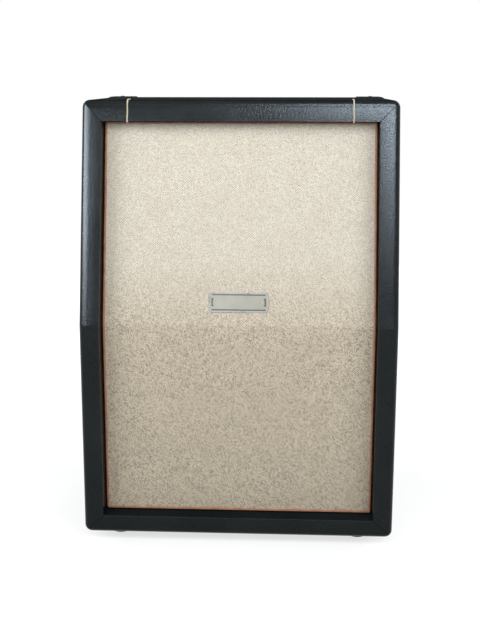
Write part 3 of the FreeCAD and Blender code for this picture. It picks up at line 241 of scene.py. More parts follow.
def makeGrilleCloth(name, given):
    material, tree, skin = startFinish(name)
    flat = put(tree, "ShaderNodeUVMap", uv_map="weave").outputs[0]
    waver = cloud(tree, flat, given["waver"]["scale"], 2.0)
    waver = spread(tree, waver, 0.0, 1.0, -given["waver"]["reach"], given["waver"]["reach"])
    axes = put(tree, "ShaderNodeSeparateXYZ", {0: flat}).outputs
    across = calc(tree, "DIVIDE", calc(tree, "ADD", axes[0], waver), given["thread"])
    along = calc(tree, "DIVIDE", calc(tree, "SUBTRACT", axes[1], waver), given["thread"])
    warpNumber = calc(tree, "FLOOR", across)
    weftNumber = calc(tree, "FLOOR", along)
    step = calc(tree, "FLOORED_MODULO", calc(tree, "SUBTRACT", weftNumber, warpNumber), given["twill"])
    over = calc(tree, "LESS_THAN", step, given["twill"] / 2)  # warp on top
    slubs = []
    for number, run in ((warpNumber, along), (weftNumber, across)):
        run = calc(tree, "MULTIPLY", run, given["slub"]["along"])
        number = calc(tree, "MULTIPLY", number, given["slub"]["apart"])
        where = put(tree, "ShaderNodeCombineXYZ", {0: run, 1: number}).outputs[0]
        slubs.append(cloud(tree, where, 1.0, 3.0, 0.7))
    chance = luckOf(tree, warpNumber, weftNumber)
    warpShade = spread(tree, slubs[0], 0.40, 0.72)
    weftShade = calc(tree, "ADD", slubs[1], calc(tree, "MULTIPLY", chance, 0.50))
    weftShade = spread(tree, weftShade, 0.55, 1.02)
    warpColour = blendColour(tree, warpShade, *given["warp"])
    weftColour = blendColour(tree, weftShade, *given["weft"])
    colour = blendColour(tree, over, weftColour, warpColour)
    rounds = []
    for run in (across, along):
        inside = calc(tree, "SUBTRACT", calc(tree, "MULTIPLY", calc(tree, "FRACT", run), 2.0), 1.0)
        rounds.append(calc(tree, "SUBTRACT", 1.0, calc(tree, "MULTIPLY", inside, inside)))
    top = put(tree, "ShaderNodeMix", {0: over, 2: rounds[1], 3: rounds[0]}).outputs[0]
    # painted shade: the weave's colour darkens along the thread borders, in the crevices between threads
    pit = spread(tree, calc(tree, "MULTIPLY", rounds[0], rounds[1]), 0.0, 0.35, 0.45, 1.0)
    colour = blendColour(tree, 1.0, colour, pit, "MULTIPLY")
    broad = given["broad"]
    stain = spread(tree, cloud(tree, flat, broad["scale"], 4.0, 0.6), 0.35, 0.7, 0.0, broad["most"])
    colour = blendColour(tree, stain, colour, broad["colour"])
    shadeBelowShare = spread(tree, axes[1], *given["shadeBelow"]["run"])  # painted shade: the cloth is darkened and warmed towards the bottom, standing in for the weaker light on the lower half
    colour = blendColour(tree, shadeBelowShare, colour, given["shadeBelow"]["tint"], "MULTIPLY")
    fleck = given["fleck"]  # darker slubs scattered over the weave
    wide, tall = fleck["size"]
    reach = fleck["drift"]["reach"]
    drift = spread(tree, cloud(tree, flat, fleck["drift"]["scale"], 2.0), 0.2, 0.8, -reach, reach)
    column = calc(tree, "FLOOR", calc(tree, "DIVIDE", calc(tree, "ADD", axes[0], drift), wide))
    row = calc(tree, "ADD", axes[1], calc(tree, "MULTIPLY", drift, -1.3))
    row = calc(tree, "FLOOR", calc(tree, "DIVIDE", row, tall))
    slub = spread(tree, luckOf(tree, column, row), *fleck["share"])
    slub = calc(tree, "MULTIPLY", slub, spread(tree, shadeBelowShare, 0.0, 1.0, *fleck["most"]))
    colour = blendColour(tree, slub, colour, fleck["colour"])
    finishSkin(tree, skin, {
        "Base Color": colour, "Roughness": 0.92, "Specular IOR Level": 0.18,
        "Sheen Weight": 0.08, "Sheen Roughness": 0.5,
    })
    relief(tree, skin, top, given["depth"], 0.7)
    return material


def makeVinylCord(name, dark, light, rough, gloss=0.4):
    material, tree, skin = startFinish(name)
    spot = objectSpot(tree)
    patch = cloud(tree, spot, 45.0, 4.0, 0.6)
    fine = cloud(tree, spot, 1800.0, 2.0)
    colour = blendColour(tree, spread(tree, patch, 0.32, 0.68), dark, light)
    finishSkin(tree, skin, {
        "Base Color": colour, "Roughness": spread(tree, fine, 0.3, 0.7, rough - 0.06, rough + 0.08),
        "Specular IOR Level": gloss,
    })
    relief(tree, skin, calc(tree, "ADD", fine, patch), 0.00012, 0.5)
    return material


def makeMetal(name, dark, light, rough, stretch):
    material, tree, skin = startFinish(name)
    lines = cloud(tree, objectSpot(tree, stretch), 900.0, 3.0, 0.6)
    stain = cloud(tree, objectSpot(tree), 60.0, 4.0)
    colour = blendColour(tree, spread(tree, calc(tree, "ADD", lines, stain), 0.7, 1.3), dark, light)
    rough = spread(tree, stain, 0.3, 0.7, *rough)
    finishSkin(tree, skin, {"Base Color": colour, "Metallic": 1.0, "Roughness": rough})
    relief(tree, skin, lines, 0.00002, 0.5)
    return material


def makeMoulded(name, dark, light, rough, grain, depth, gloss=0.4):
    material, tree, skin = startFinish(name)
    spot = objectSpot(tree)
    pebble = cells(tree, spot, grain, "SMOOTH_F1")
    fine = cloud(tree, spot, grain * 3.1, 2.0)
    patch = cloud(tree, spot, 14.0, 5.0, 0.6)
    colour = blendColour(tree, spread(tree, patch, 0.3, 0.7), dark, light)
    rough = spread(tree, calc(tree, "ADD", patch, fine), 0.6, 1.4, *rough)
    finishSkin(tree, skin, {"Base Color": colour, "Specular IOR Level": gloss, "Roughness": rough})
    relief(tree, skin, calc(tree, "SUBTRACT", calc(tree, "MULTIPLY", fine, 0.4), pebble), depth, 0.6)
    return material


def makePlywood(name):
    material, tree, skin = startFinish(name)
    grain = cloud(tree, objectSpot(tree, (9, 9, 0.9)), 26.0, 6.0, 0.62, 0.6)
    pores = cloud(tree, objectSpot(tree, (60, 60, 2.5)), 22.0, 2.0)
    plies = put(tree, "ShaderNodeTexWave", {
        "Vector": objectSpot(tree), "Scale": 96.0, "Distortion": 0.5, "Detail": 1.0,
    }, bands_direction="Y").outputs["Fac"]
    colour = blendColour(tree, spread(tree, grain, 0.3, 0.72), (0.66, 0.50, 0.33), (0.47, 0.32, 0.19))
    colour = blendColour(tree, spread(tree, plies, 0.55, 0.9, 0.0, 0.25), colour, (0.36, 0.23, 0.13))
    colour = blendColour(tree, spread(tree, pores, 0.60, 0.72, 0.0, 0.35), colour, (0.26, 0.16, 0.09))
    glued = spread(tree, frontDepth(tree), 0.0030, 0.0036, 1.0, 0.0)  # black glue under the covering's front
    colour = blendColour(tree, glued, colour, (0.004, 0.004, 0.004))
    rough = spread(tree, grain, 0.3, 0.7, 0.5, 0.68)
    finishSkin(tree, skin, {"Base Color": colour, "Roughness": rough, "Specular IOR Level": 0.12})
    relief(tree, skin, calc(tree, "ADD", grain, pores), 0.0002, 0.4)
    return material


def makePaper(name, dark, light):
    material, tree, skin = startFinish(name)
    fibre = cloud(tree, objectSpot(tree), 420.0, 5.0, 0.7, 1.2)
    felt = cloud(tree, objectSpot(tree), 70.0, 4.0, 0.6)
    colour = blendColour(tree, spread(tree, calc(tree, "ADD", fibre, felt), 0.7, 1.3), dark, light)
    finishSkin(tree, skin, {"Base Color": colour, "Roughness": spread(tree, fibre, 0.3, 0.7, 0.78, 0.95)})
    relief(tree, skin, fibre, 0.0003, 0.6)
    return material


def makeDopedCloth(name):
    material, tree, skin = startFinish(name)
    waves = []
    for way in ("X", "Z"):
        inputs = {"Vector": objectSpot(tree), "Scale": 420.0, "Distortion": 0.8, "Detail": 1.0}
        waves.append(put(tree, "ShaderNodeTexWave", inputs, bands_direction=way).outputs["Fac"])
    weave = calc(tree, "MULTIPLY", waves[0], waves[1])
    dope = cloud(tree, objectSpot(tree), 38.0, 4.0)
    colour = blendColour(tree, weave, (0.17, 0.105, 0.055), (0.38, 0.27, 0.15))
    colour = blendColour(tree, spread(tree, dope, 0.45, 0.75, 0.0, 0.6), colour, (0.10, 0.065, 0.04))
    finishSkin(tree, skin, {"Base Color": colour, "Roughness": spread(tree, dope, 0.3, 0.7, 0.75, 0.45)})
    relief(tree, skin, weave, 0.00025, 0.7)
    return material


def makeWinding(name):
    material, tree, skin = startFinish(name)
    inputs = {"Vector": objectSpot(tree), "Scale": 560.0, "Distortion": 0.0}
    turns = put(tree, "ShaderNodeTexWave", inputs, bands_direction="Y").outputs["Fac"]
    stain = cloud(tree, objectSpot(tree), 120.0, 3.0)
    tone = spread(tree, calc(tree, "ADD", turns, stain), 0.4, 1.4)
    colour = blendColour(tree, tone, (0.30, 0.11, 0.05), (0.72, 0.34, 0.16))
    rough = spread(tree, stain, 0.3, 0.7, 0.24, 0.4)
    finishSkin(tree, skin, {"Base Color": colour, "Metallic": 0.9, "Roughness": rough})
    relief(tree, skin, turns, 0.00015, 0.8)
    return material


finishes = {
    "plywood": makePlywood("birchPlywood"),
    "leathercloth": makeLeathercloth("blackLeathercloth", leatherclothSettings),
    "grille_cloth": makeGrilleCloth("fleckedCloth", clothSettings),
    "tan_piping": makeVinylCord("copperBrownCord", (0.27, 0.122, 0.070), (0.42, 0.210, 0.128), 0.46, 0.16),
    "cream_piping": makeVinylCord("creamCord", (0.42, 0.35, 0.245), (0.60, 0.53, 0.395), 0.52, 0.2),
    "badge_metal": makeMetal(
        "satinAluminium", (0.48, 0.49, 0.51), (0.70, 0.71, 0.73), (0.24, 0.38), (1, 30, 30)),
    "bright_steel": makeMetal("zincPlate", (0.48, 0.48, 0.47), (0.72, 0.72, 0.70), (0.22, 0.40), (4, 4, 4)),
    "black_plastic": makeMoulded(
        "blackMoulding", (0.012, 0.012, 0.013), (0.024, 0.024, 0.026), (0.42, 0.58), 900.0, 0.00012),
    "black_metal": makeMoulded(
        "powderCoat", (0.012, 0.012, 0.013), (0.024, 0.024, 0.025), (0.44, 0.58), 1500.0, 0.00006, 0.12),
    "foot_rubber": makeMoulded(
        "footRubber", (0.011, 0.011, 0.011), (0.026, 0.025, 0.024), (0.66, 0.84), 700.0, 0.00010, 0.3),
    "frame_paint": makeMoulded(
        "stovedPaint", (0.016, 0.016, 0.017), (0.034, 0.034, 0.036), (0.30, 0.46), 300.0, 0.00005, 0.5),
    "cone_paper": makePaper("conePaper", (0.034, 0.032, 0.030), (0.075, 0.070, 0.064)),
    "treated_cloth": makeDopedCloth("dopedCloth"),
    "coil_copper": makeWinding("coilWinding"),
    "ferrite": makeMoulded(
        "sinteredFerrite", (0.055, 0.055, 0.058), (0.12, 0.12, 0.125), (0.5, 0.7), 1200.0, 0.00010, 0.5),
    "plated_steel": makeMetal(
        "platedSteel", (0.40, 0.40, 0.37), (0.62, 0.61, 0.56), (0.28, 0.46), (1, 12, 1)),
    "gasket_board": makePaper("fibreBoard", (0.22, 0.155, 0.095), (0.40, 0.30, 0.20)),
    "lead_rubber": makeMoulded(
        "leadSleeve", (0.010, 0.010, 0.010), (0.022, 0.022, 0.022), (0.48, 0.62), 1100.0, 0.00005, 0.4),
}
slotOf = {part["node"]: part["material_slot"] for part in frame["record"]["subparts"]}
for name, node in nodes.items():
    node.data.materials.clear()
    node.data.materials.append(finishes[slotOf[name]])
dustySettings = {**leatherclothSettings, "gloss": 0.012, "rough": (0.6, 0.8)}
covering = nodes["cabinet_covering"].data  # where it faces up it gathers dust and loses its shine
covering.materials.append(makeLeathercloth("dustyLeathercloth", dustySettings))
for one in covering.polygons:
    one.material_index = int(one.normal.z > 0.75)
print("stage: finishes on", len(slotOf), "nodes")


def addPiece(name, bm, body, slot, materials=None, smooth=True):
    mesh = bpy.data.meshes.new(name)
    bm.to_mesh(mesh)
    bm.free()
    piece = bpy.data.objects.new(name, mesh)
    scene.collection.objects.link(piece)
    for material in materials or [finishes[slot]]:
        mesh.materials.append(material)
    mesh.polygons.foreach_set("use_smooth", [smooth] * len(mesh.polygons))
    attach(piece, body)
    return piece


# grille cloth: one sheet pulled over both boards and tucked round their edges
grilleSettings = {
    "half": 0.2210, "low": 0.0480, "top": 0.33511, "fold": 0.0016, "bendRound": 0.020,
    "tuck": 0.0155, "step": 0.006, "thick": 0.0008, "slack": 0.00010,
}


def clothStations(low, high, given, extra=()):
    fold = given["fold"] * math.pi / 2
    count = round((high - low) / given["step"])
    inner = [low + (high - low) * n / count for n in range(count + 1)]
    past = [fold * n / 4 for n in (1, 2, 3, 4)] + [fold + given["tuck"] / 2, fold + given["tuck"]]
    before = [low - run for run in reversed(past)]
    after = [high + run for run in past]
    return before + sorted(set(inner) | set(extra)) + after


def turnedBack(past, given):  # sideways and inward travel of cloth that has run past an edge
    fold = given["fold"]
    arc = fold * math.pi / 2
    if past <= 0:
        return 0.0, 0.0
    if past < arc:
        angle = past / fold
        return fold * math.sin(angle), fold * (1 - math.cos(angle))
    return fold, fold + past - arc


def makeCloth(given):
    slant, fold, bendRound = face["slant"], given["fold"], given["bendRound"]
    reach = bendRound * math.tan(slant / 2)
    lowRun = face["bend"] - face["recess"] * math.tan(slant / 2) - given["low"] - fold - reach
    bendRun = bendRound * slant
    highRun = given["top"] - face["recess"] * math.tan(slant / 2) - reach - fold
    total = lowRun + bendRun + highRun
    half = given["half"] - fold
    start = Vector((0, face["front"] + face["recess"], given["low"] + fold))

    def frontSpot(run):  # place, up and outward directions along the stretched face
        run = min(max(run, 0.0), total)
        if run <= lowRun:
            return start + Vector((0, 0, run)), Vector((0, 0, 1)), Vector((0, -1, 0))
        angle = min((run - lowRun) / bendRound, slant)
        up = Vector((0, math.sin(angle), math.cos(angle)))
        out = Vector((0, -math.cos(angle), math.sin(angle)))
        centre = start + Vector((0, bendRound, lowRun))
        spot = centre + out * bendRound
        return spot + up * max(run - lowRun - bendRun, 0.0), up, out

    bends = [lowRun + bendRun * n / 6 for n in range(7)]
    acrossStations = clothStations(-half, half, given)
    alongStations = clothStations(0.0, total, given, bends)
    columns, rows = len(acrossStations) - 1, len(alongStations) - 1
    bm = bmesh.new()
    weave = bm.loops.layers.uv.new("weave")
    bmesh.ops.create_grid(bm, x_segments=columns, y_segments=rows, size=0.5)
    flatOf = {}
    corners = []
    for vert in bm.verts:
        u = acrossStations[round((vert.co.x + 0.5) * columns)]
        v = alongStations[round((vert.co.y + 0.5) * rows)]
        flatOf[vert] = (u, v)
        sidePast, endPast = abs(u) - half, max(-v, v - total)
        if sidePast > 1e-7 and endPast > 1e-7:
            corners.append(vert)
        sideOut, sideIn = turnedBack(sidePast, given)
        endOut, endIn = turnedBack(endPast, given)
        spot, up, out = frontSpot(v)
        ripple = noise.noise(Vector((u * 16, v * 11, 3.1))) + 0.5 * noise.noise(Vector((u * 55, v * 40, 8.2)))
        lift = given["slack"] * (ripple - 1.0) if sidePast <= 0 and endPast <= 0 else -given["slack"]
        spot = spot + out * (lift - sideIn - endIn) + up * (endOut if v > total else -endOut)
        spot.x = max(-half, min(half, u)) + math.copysign(sideOut, u)
        vert.co = spot
    for loopFace in bm.faces:
        for loop in loopFace.loops:
            loop[weave].uv = flatOf[loop.vert]
    bmesh.ops.delete(bm, geom=corners, context="VERTS")
    bmesh.ops.recalc_face_normals(bm, faces=bm.faces)
    inFront = Vector((0, face["front"], 0.2))
    middle = min(bm.faces, key=lambda one: (one.calc_center_median() - inFront).length)
    if middle.normal.y > 0:
        bmesh.ops.reverse_faces(bm, faces=bm.faces)
    piece = addPiece("grilleCloth", bm, "cabinet", "grille_cloth")
    wall = piece.modifiers.new("weight", "SOLIDIFY")
    wall.thickness = given["thick"]
    wall.offset = -1.0
    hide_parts("grille_cloth")


makeCloth(grilleSettings)

# piping: a bead of covered cord, laid along corner points
pipingSettings = {
    "grille": {
        "radius": 0.00175, "half": 0.21925, "low": 0.04975, "top": 0.33336, "offset": 0.02825,
        "turn": 0.0035, "bend": 0.030,
    },
    "top": {
        "radius": 0.0011, "x": 0.181, "lift": 0.0006, "foot": 0.6882, "hook": 0.004, "high": 0.724,
        "reach": 0.028, "turn": 0.0137, "wander": (0.0, 0.0, 0.0003, -0.0003, 0.0001, 0.0, 0.0, -0.0002, 0.0),
    },
}


def beadMesh(name, points, radius, closed):
    curve = bpy.data.curves.new(name, "CURVE")
    curve.dimensions = "3D"
    spline = curve.splines.new("NURBS")
    spline.points.add(len(points) - 1)
    for point, spot in zip(spline.points, points):
        point.co = (*spot, 1.0)
    spline.order_u = 3
    spline.use_cyclic_u = closed
    spline.use_endpoint_u = not closed
    spline.resolution_u = 6
    curve.bevel_depth = radius
    curve.bevel_resolution = 4
    curve.use_fill_caps = True
    laid = bpy.data.objects.new(name + "Line", curve)
    mesh = bpy.data.meshes.new_from_object(laid)
    bm = bmesh.new()
    bm.from_mesh(mesh)
    bmesh.ops.remove_doubles(bm, verts=bm.verts, dist=1e-6)
    bmesh.ops.recalc_face_normals(bm, faces=bm.faces)
    bpy.data.objects.remove(laid)
    bpy.data.curves.remove(curve)
    bpy.data.meshes.remove(mesh)
    return bm


def nearCorner(before, corner, after, reach):  # a point each side keeps the bead's runs straight
    sides = [corner + (other - corner).normalized() * reach for other in (before, after)]
    return [sides[0], corner, sides[1]]


def makeGrillePiping(given):
    offset = given["offset"]
    knee = Vector((0, face["front"] + offset, face["bend"] - offset * math.tan(face["slant"] / 2)))
    high = onSlope(offset, given["top"])
    ring = []
    for sign in (1, -1):
        side = [(knee.y, given["low"]), (knee.y, knee.z), (high.y, high.z)]
        side = [Vector((sign * given["half"], y, z)) for y, z in side]
        ring += side if sign > 0 else side[::-1]
    points = []
    for number, corner in enumerate(ring):
        reach = given["bend"] if abs(corner.z - knee.z) < 1e-6 else given["turn"]
        points += nearCorner(ring[number - 1], corner, ring[(number + 1) % len(ring)], reach)
    bead = beadMesh("grillePiping", points, given["radius"], True)
    piece = addPiece("grillePiping", bead, "cabinet", "tan_piping")
    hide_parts("grille_piping")


def makeTopPiping(side, sign, given):
    lift, slant = given["lift"], face["slant"]

    def slopeY(z):
        return face["front"] + (z - face["bend"]) * math.tan(slant) - lift / math.cos(slant)

    high = given["high"] + lift
    foot, edge = given["foot"], slopeY(high)
    run = [(slopeY(foot), foot), (edge, high), (edge + given["reach"], high)]
    run = [Vector((sign * given["x"], y, z)) for y, z in run]
    points = [run[0] + Vector((0, given["hook"], lift))]  # the end tucks under the rail
    points += [run[0].lerp(run[1], share) for share in (0.0, 0.22, 0.46)]
    points += nearCorner(run[0], run[1], run[2], given["turn"])
    points += [run[1].lerp(run[2], 0.7), run[2]]
    points = [spot + Vector((sign * shift, 0, 0)) for spot, shift in zip(points, given["wander"])]
    name = "topPiping" + side.capitalize()
    piece = addPiece(name, beadMesh(name, points, given["radius"], False), "cabinet", "cream_piping")
    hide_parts("top_piping_" + side)


makeGrillePiping(pipingSettings["grille"])
for side, sign in (("left", -1), ("right", 1)):
    makeTopPiping(side, sign, pipingSettings["top"])
print("stage: piping laid")

# badge: a bare plate with stepped corners, a sunk field, pinstripes and two domed pins
badgeSettings = {
    "wide": 0.096, "tall": 0.032, "thick": 0.002, "notch": 0.004, "rim": 0.0016, "sunk": 0.0006, "up": 0.0415,
    "eased": 0.0004, "draft": 0.0003, "line": {"root": 0.0001, "rise": 0.00035, "eased": 0.00015},
    "stripe": {"length": 0.087, "width": 0.0015, "height": 0.0122},
    "bracket": {"x": 0.0430, "tall": 0.0125, "leg": 0.0022, "width": 0.0018},
    "pin": {
        "x": 0.0385, "radius": 0.0022, "rise": 0.0014, "root": 0.0002, "steps": 20,
        "dome": ((1.0, 0.35), (0.82, 0.75), (0.45, 0.97), (0.0, 1.0)),
    },
}
badgeField = makeMoulded(
    "badgeField", (0.30, 0.295, 0.245), (0.40, 0.39, 0.33), (0.40, 0.52), 2600.0, 0.00002)
badgeLine = makeMoulded(
    "badgeEnamel", (0.036, 0.042, 0.060), (0.070, 0.078, 0.100), (0.30, 0.42), 1800.0, 0.00001)
badgeFrame = Matrix.Translation(onSlope(face["recess"], badgeSettings["up"])) @ Matrix((
    (1, 0, 0, 0), (0, upSlope.y, outSlope.y, 0), (0, upSlope.z, outSlope.z, 0), (0, 0, 0, 1)))


def addLine(bm, low, high, floor, given):  # a raised enamel line with its front edges eased
    low = Vector((*low, floor - given["root"]))
    high = Vector((*high, floor + given["rise"]))
    place = Matrix.Translation((low + high) / 2) @ Matrix.Diagonal((*(high - low), 1))
    verts = bmesh.ops.create_cube(bm, size=1.0, matrix=place)["verts"]
    for one in {one for vert in verts for one in vert.link_faces}:
        one.material_index = 2
    edges = {edge for vert in verts for edge in vert.link_edges}
    edges = [edge for edge in edges if all(vert.co.z > high.z - 1e-7 for vert in edge.verts)]
    bmesh.ops.bevel(bm, geom=edges, offset=given["eased"], segments=2, profile=0.5, affect="EDGES", material=-1)


def makeBadge(given):
    bm = bmesh.new()
    wide, tall, notch, thick = given["wide"] / 2, given["tall"] / 2, given["notch"], given["thick"]
    corners = []
    for su, sv in ((1, 1), (-1, 1), (-1, -1), (1, -1)):
        step = [(wide, tall - notch), (wide - notch * 0.35, tall - notch), (wide - notch * 0.35, tall)]
        step = [(su * u, sv * v) for u, v in step]
        corners += step if su * sv > 0 else step[::-1]
    outline = [bm.verts.new((u, v, 0)) for u, v in corners]
    base = bm.faces.new(outline)
    raised = bmesh.ops.extrude_face_region(bm, geom=[base])
    top = [item for item in raised["geom"] if isinstance(item, bmesh.types.BMFace)][0]
    bmesh.ops.translate(bm, vec=(0, 0, thick), verts=top.verts)
    bmesh.ops.recalc_face_normals(bm, faces=bm.faces)
    rim = list(top.edges)
    bmesh.ops.bevel(bm, geom=rim, offset=given["eased"], segments=3, profile=0.5, affect="EDGES", material=-1)
    top = max(bm.faces, key=lambda one: one.calc_area() if one.normal.z > 0.9 else 0)
    bmesh.ops.inset_region(bm, faces=[top], thickness=given["rim"], depth=0.0)
    bmesh.ops.inset_region(bm, faces=[top], thickness=given["draft"], depth=-given["sunk"])
    top.material_index = 1
    floor = thick - given["sunk"]
    stripe, bracket, line = given["stripe"], given["bracket"], given["line"]
    long, broad = stripe["length"] / 2, stripe["width"] / 2
    upright, thin = bracket["tall"] / 2, bracket["width"] / 2
    for sign in (1, -1):
        v = sign * stripe["height"]
        addLine(bm, (-long, v - broad), (long, v + broad), floor, line)
        u = sign * bracket["x"]
        addLine(bm, (u - thin, -upright), (u + thin, upright), floor, line)
        for end in (1, -1):
            w = end * (upright - thin)
            inner, outer = sorted((u, u - sign * bracket["leg"]))
            addLine(bm, (inner, w - thin), (outer, w + thin), floor, line)
    bmesh.ops.transform(bm, matrix=badgeFrame, verts=bm.verts)
    coats = [finishes["badge_metal"], badgeField, badgeLine]
    piece = addPiece("badgePlate", bm, "cabinet", "badge_metal", coats, smooth=False)
    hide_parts("badge_plate")


def makeBadgePins(given):
    bm = bmesh.new()
    pin = given["pin"]
    floor = given["thick"] - given["sunk"]
    profile = [(pin["radius"], -pin["root"])]
    profile += [(pin["radius"] * wide, pin["rise"] * tall) for wide, tall in pin["dome"]]
    for sign in (1, -1):
        centre = Vector((sign * pin["x"], 0, floor))
        verts = [bm.verts.new(centre + Vector((radius, 0, height))) for radius, height in profile]
        edges = [bm.edges.new(pair) for pair in zip(verts, verts[1:])]
        bmesh.ops.spin(bm, geom=verts + edges, cent=centre, axis=(0, 0, 1), angle=math.tau,
                       steps=pin["steps"], use_merge=True)
    bmesh.ops.remove_doubles(bm, verts=bm.verts, dist=1e-6)
    bmesh.ops.holes_fill(bm, edges=bm.edges)
    bmesh.ops.recalc_face_normals(bm, faces=bm.faces)
    bmesh.ops.transform(bm, matrix=badgeFrame, verts=bm.verts)
    piece = addPiece("badgePins", bm, "cabinet", "bright_steel")
    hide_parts("badge_pins")


makeBadge(badgeSettings)
makeBadgePins(badgeSettings)
print("stage: badge made")

# wood screws: a domed head with a cross recess, set where each plain screw of the frame sits
screwSettings = {
    "nodes": {"trim_screws": "trimScrews", "back_screws": "backScrews", "foot_screws": "footScrews"},
    "steps": 24, "tip": 0.25, "edge": 0.16, "turn": {"first": 0.37, "each": 1.1}, "sharp": math.radians(35),
    "cross": {"reach": 0.66, "width": 0.21, "sink": 0.62, "taper": 0.45},
}


def turnProfile(bm, profile, steps):  # spins (radius, height) pairs round the upright axis
    verts = [bm.verts.new((radius, 0, height)) for radius, height in profile]
    edges = [bm.edges.new(pair) for pair in zip(verts, verts[1:])]
    bmesh.ops.spin(bm, geom=verts + edges, cent=(0, 0, 0), axis=(0, 0, 1), angle=math.tau,
                   steps=steps, use_merge=True)
    bmesh.ops.remove_doubles(bm, verts=bm.verts, dist=1e-7)
    bmesh.ops.recalc_face_normals(bm, faces=bm.faces)


def looseObject(name, bm):
    mesh = bpy.data.meshes.new(name)
    bm.to_mesh(mesh)
    bm.free()
    thing = bpy.data.objects.new(name, mesh)
    scene.collection.objects.link(thing)
    return thing


def makeScrewMesh(size, given):
    radius, shank, thick, length = size
    edge, cross = given["edge"], given["cross"]
    rim = thick * edge
    bm = bmesh.new()
    profile = [(0, -length), (shank * given["tip"], -length), (shank, -length + shank * 2), (shank, 0)]
    profile += [(radius * 0.97, 0), (radius, rim)]
    for step in range(1, 6):
        angle = math.pi / 2 * step / 6
        profile.append((radius * math.cos(angle), rim + (thick - rim) * math.sin(angle)))
    turnProfile(bm, profile + [(0, thick)], given["steps"])
    head = looseObject("screwHead", bm)
    bm = bmesh.new()
    slot = (radius * cross["reach"] * 2, radius * cross["width"], thick * cross["sink"] * 2.2, 1)
    slot = Matrix.Translation((0, 0, thick * 1.1)) @ Matrix.Diagonal(slot)
    for turn in (0, math.pi / 2):
        verts = bmesh.ops.create_cube(bm, size=1.0, matrix=Matrix.Rotation(turn, 4, "Z") @ slot)["verts"]
        foot = [vert for vert in verts if vert.co.z < thick]
        bmesh.ops.scale(bm, vec=(cross["taper"], cross["taper"], 1), verts=foot)
    tool = looseObject("screwCross", bm)
    recess = head.modifiers.new("recess", "BOOLEAN")
    recess.object, recess.operation, recess.solver, recess.use_self = tool, "DIFFERENCE", "EXACT", True
    seen = head.evaluated_get(bpy.context.evaluated_depsgraph_get())
    mesh = bpy.data.meshes.new_from_object(seen)
    for thing in (head, tool):
        used = thing.data
        bpy.data.objects.remove(thing)
        bpy.data.meshes.remove(used)
    return mesh


def screwPlaces(node):  # seat, outward direction and sizes of each screw in a node
    bm = bmesh.new()
    bm.from_mesh(node.data)
    bmesh.ops.remove_doubles(bm, verts=bm.verts, dist=1e-6)
    left, places = set(bm.verts), []
    while left:
        island, edge = set(), [min(left, key=lambda vert: vert.index)]
        while edge:
            vert = edge.pop()
            if vert in left:
                left.discard(vert)
                island.add(vert)
                edge += [other.other_vert(vert) for other in vert.link_edges]
        low = Vector([min(vert.co[n] for vert in island) for n in range(3)])
        high = Vector([max(vert.co[n] for vert in island) for n in range(3)])
        axis = max(range(3), key=lambda n: high[n] - low[n])
        middle = (low + high) / 2
        around = [n for n in range(3) if n != axis]
        off = {vert: Vector([vert.co[n] - middle[n] for n in around]).length for vert in island}
        radius = max(off.values())
        seats = [vert.co[axis] for vert in island if off[vert] > radius * 0.98]
        ends = (low[axis], high[axis])
        outer = min(ends, key=lambda end: min(abs(seat - end) for seat in seats))
        tip = ends[0] if outer == ends[1] else ends[1]
        seat = min(seats, key=lambda one: abs(one - tip))
        shank = max(reach for vert, reach in off.items() if abs(vert.co[axis] - tip) < 1e-5)
        middle[axis] = seat
        way = Vector([0, 0, 0])
        way[axis] = 1 if outer > tip else -1
        sizes = [round(one, 5) for one in (radius, shank, abs(outer - seat), abs(seat - tip))]
        places.append((middle, way, tuple(sizes)))
    bm.free()
    return sorted(places, key=lambda place: tuple(round(part, 4) for part in place[0]))


def makeScrews(given):
    shapes = {}
    for node, name in given["nodes"].items():
        bm = bmesh.new()
        for number, (seat, way, size) in enumerate(screwPlaces(nodes[node])):
            if size not in shapes:
                shapes[size] = makeScrewMesh(size, given)
            known = len(bm.verts)
            bm.from_mesh(shapes[size])
            bm.verts.ensure_lookup_table()
            turn = Vector((0, 0, 1)).rotation_difference(way).to_matrix().to_4x4()
            angle = given["turn"]["first"] + number * given["turn"]["each"]
            place = Matrix.Translation(seat) @ turn @ Matrix.Rotation(angle, 4, "Z")
            bmesh.ops.transform(bm, matrix=place, verts=bm.verts[known:])
        piece = addPiece(name, bm, "cabinet", slotOf[node])
        piece.data.set_sharp_from_angle(angle=given["sharp"])
        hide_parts(node)
    for mesh in shapes.values():
        bpy.data.meshes.remove(mesh)


makeScrews(screwSettings)
print("stage: screws set")

# camera at the photo's angle, studio light and floor
viewSettings = {
    "place": (0.06521, -1.7547, 0.75599), "yaw": 0.04919, "pitch": 0.20464, "roll": 0.00037,
    "lens": 57.314, "shift": (0.01557, -0.04529),
}


def addCamera(given):
    yaw, pitch, roll = given["yaw"], given["pitch"], given["roll"]
    ahead = Vector((-math.sin(yaw) * math.cos(pitch), math.cos(yaw) * math.cos(pitch), -math.sin(pitch)))
    right = Vector((math.cos(yaw), math.sin(yaw), 0))
    up = right.cross(ahead)
    turnedRight = right * math.cos(roll) + up * math.sin(roll)
    turnedUp = up * math.cos(roll) - right * math.sin(roll)
    data = bpy.data.cameras.new("studioCamera")
    data.lens = given["lens"]
    data.sensor_width = 36.0
    data.sensor_fit = "AUTO"
    data.shift_x, data.shift_y = given["shift"]
    data.clip_start = 0.05
    camera = bpy.data.objects.new("studioCamera", data)
    turn = Matrix((turnedRight, turnedUp, -ahead)).transposed().to_4x4()
    camera.matrix_world = Matrix.Translation(given["place"]) @ turn
    scene.collection.objects.link(camera)
    scene.camera = camera


addCamera(viewSettings)

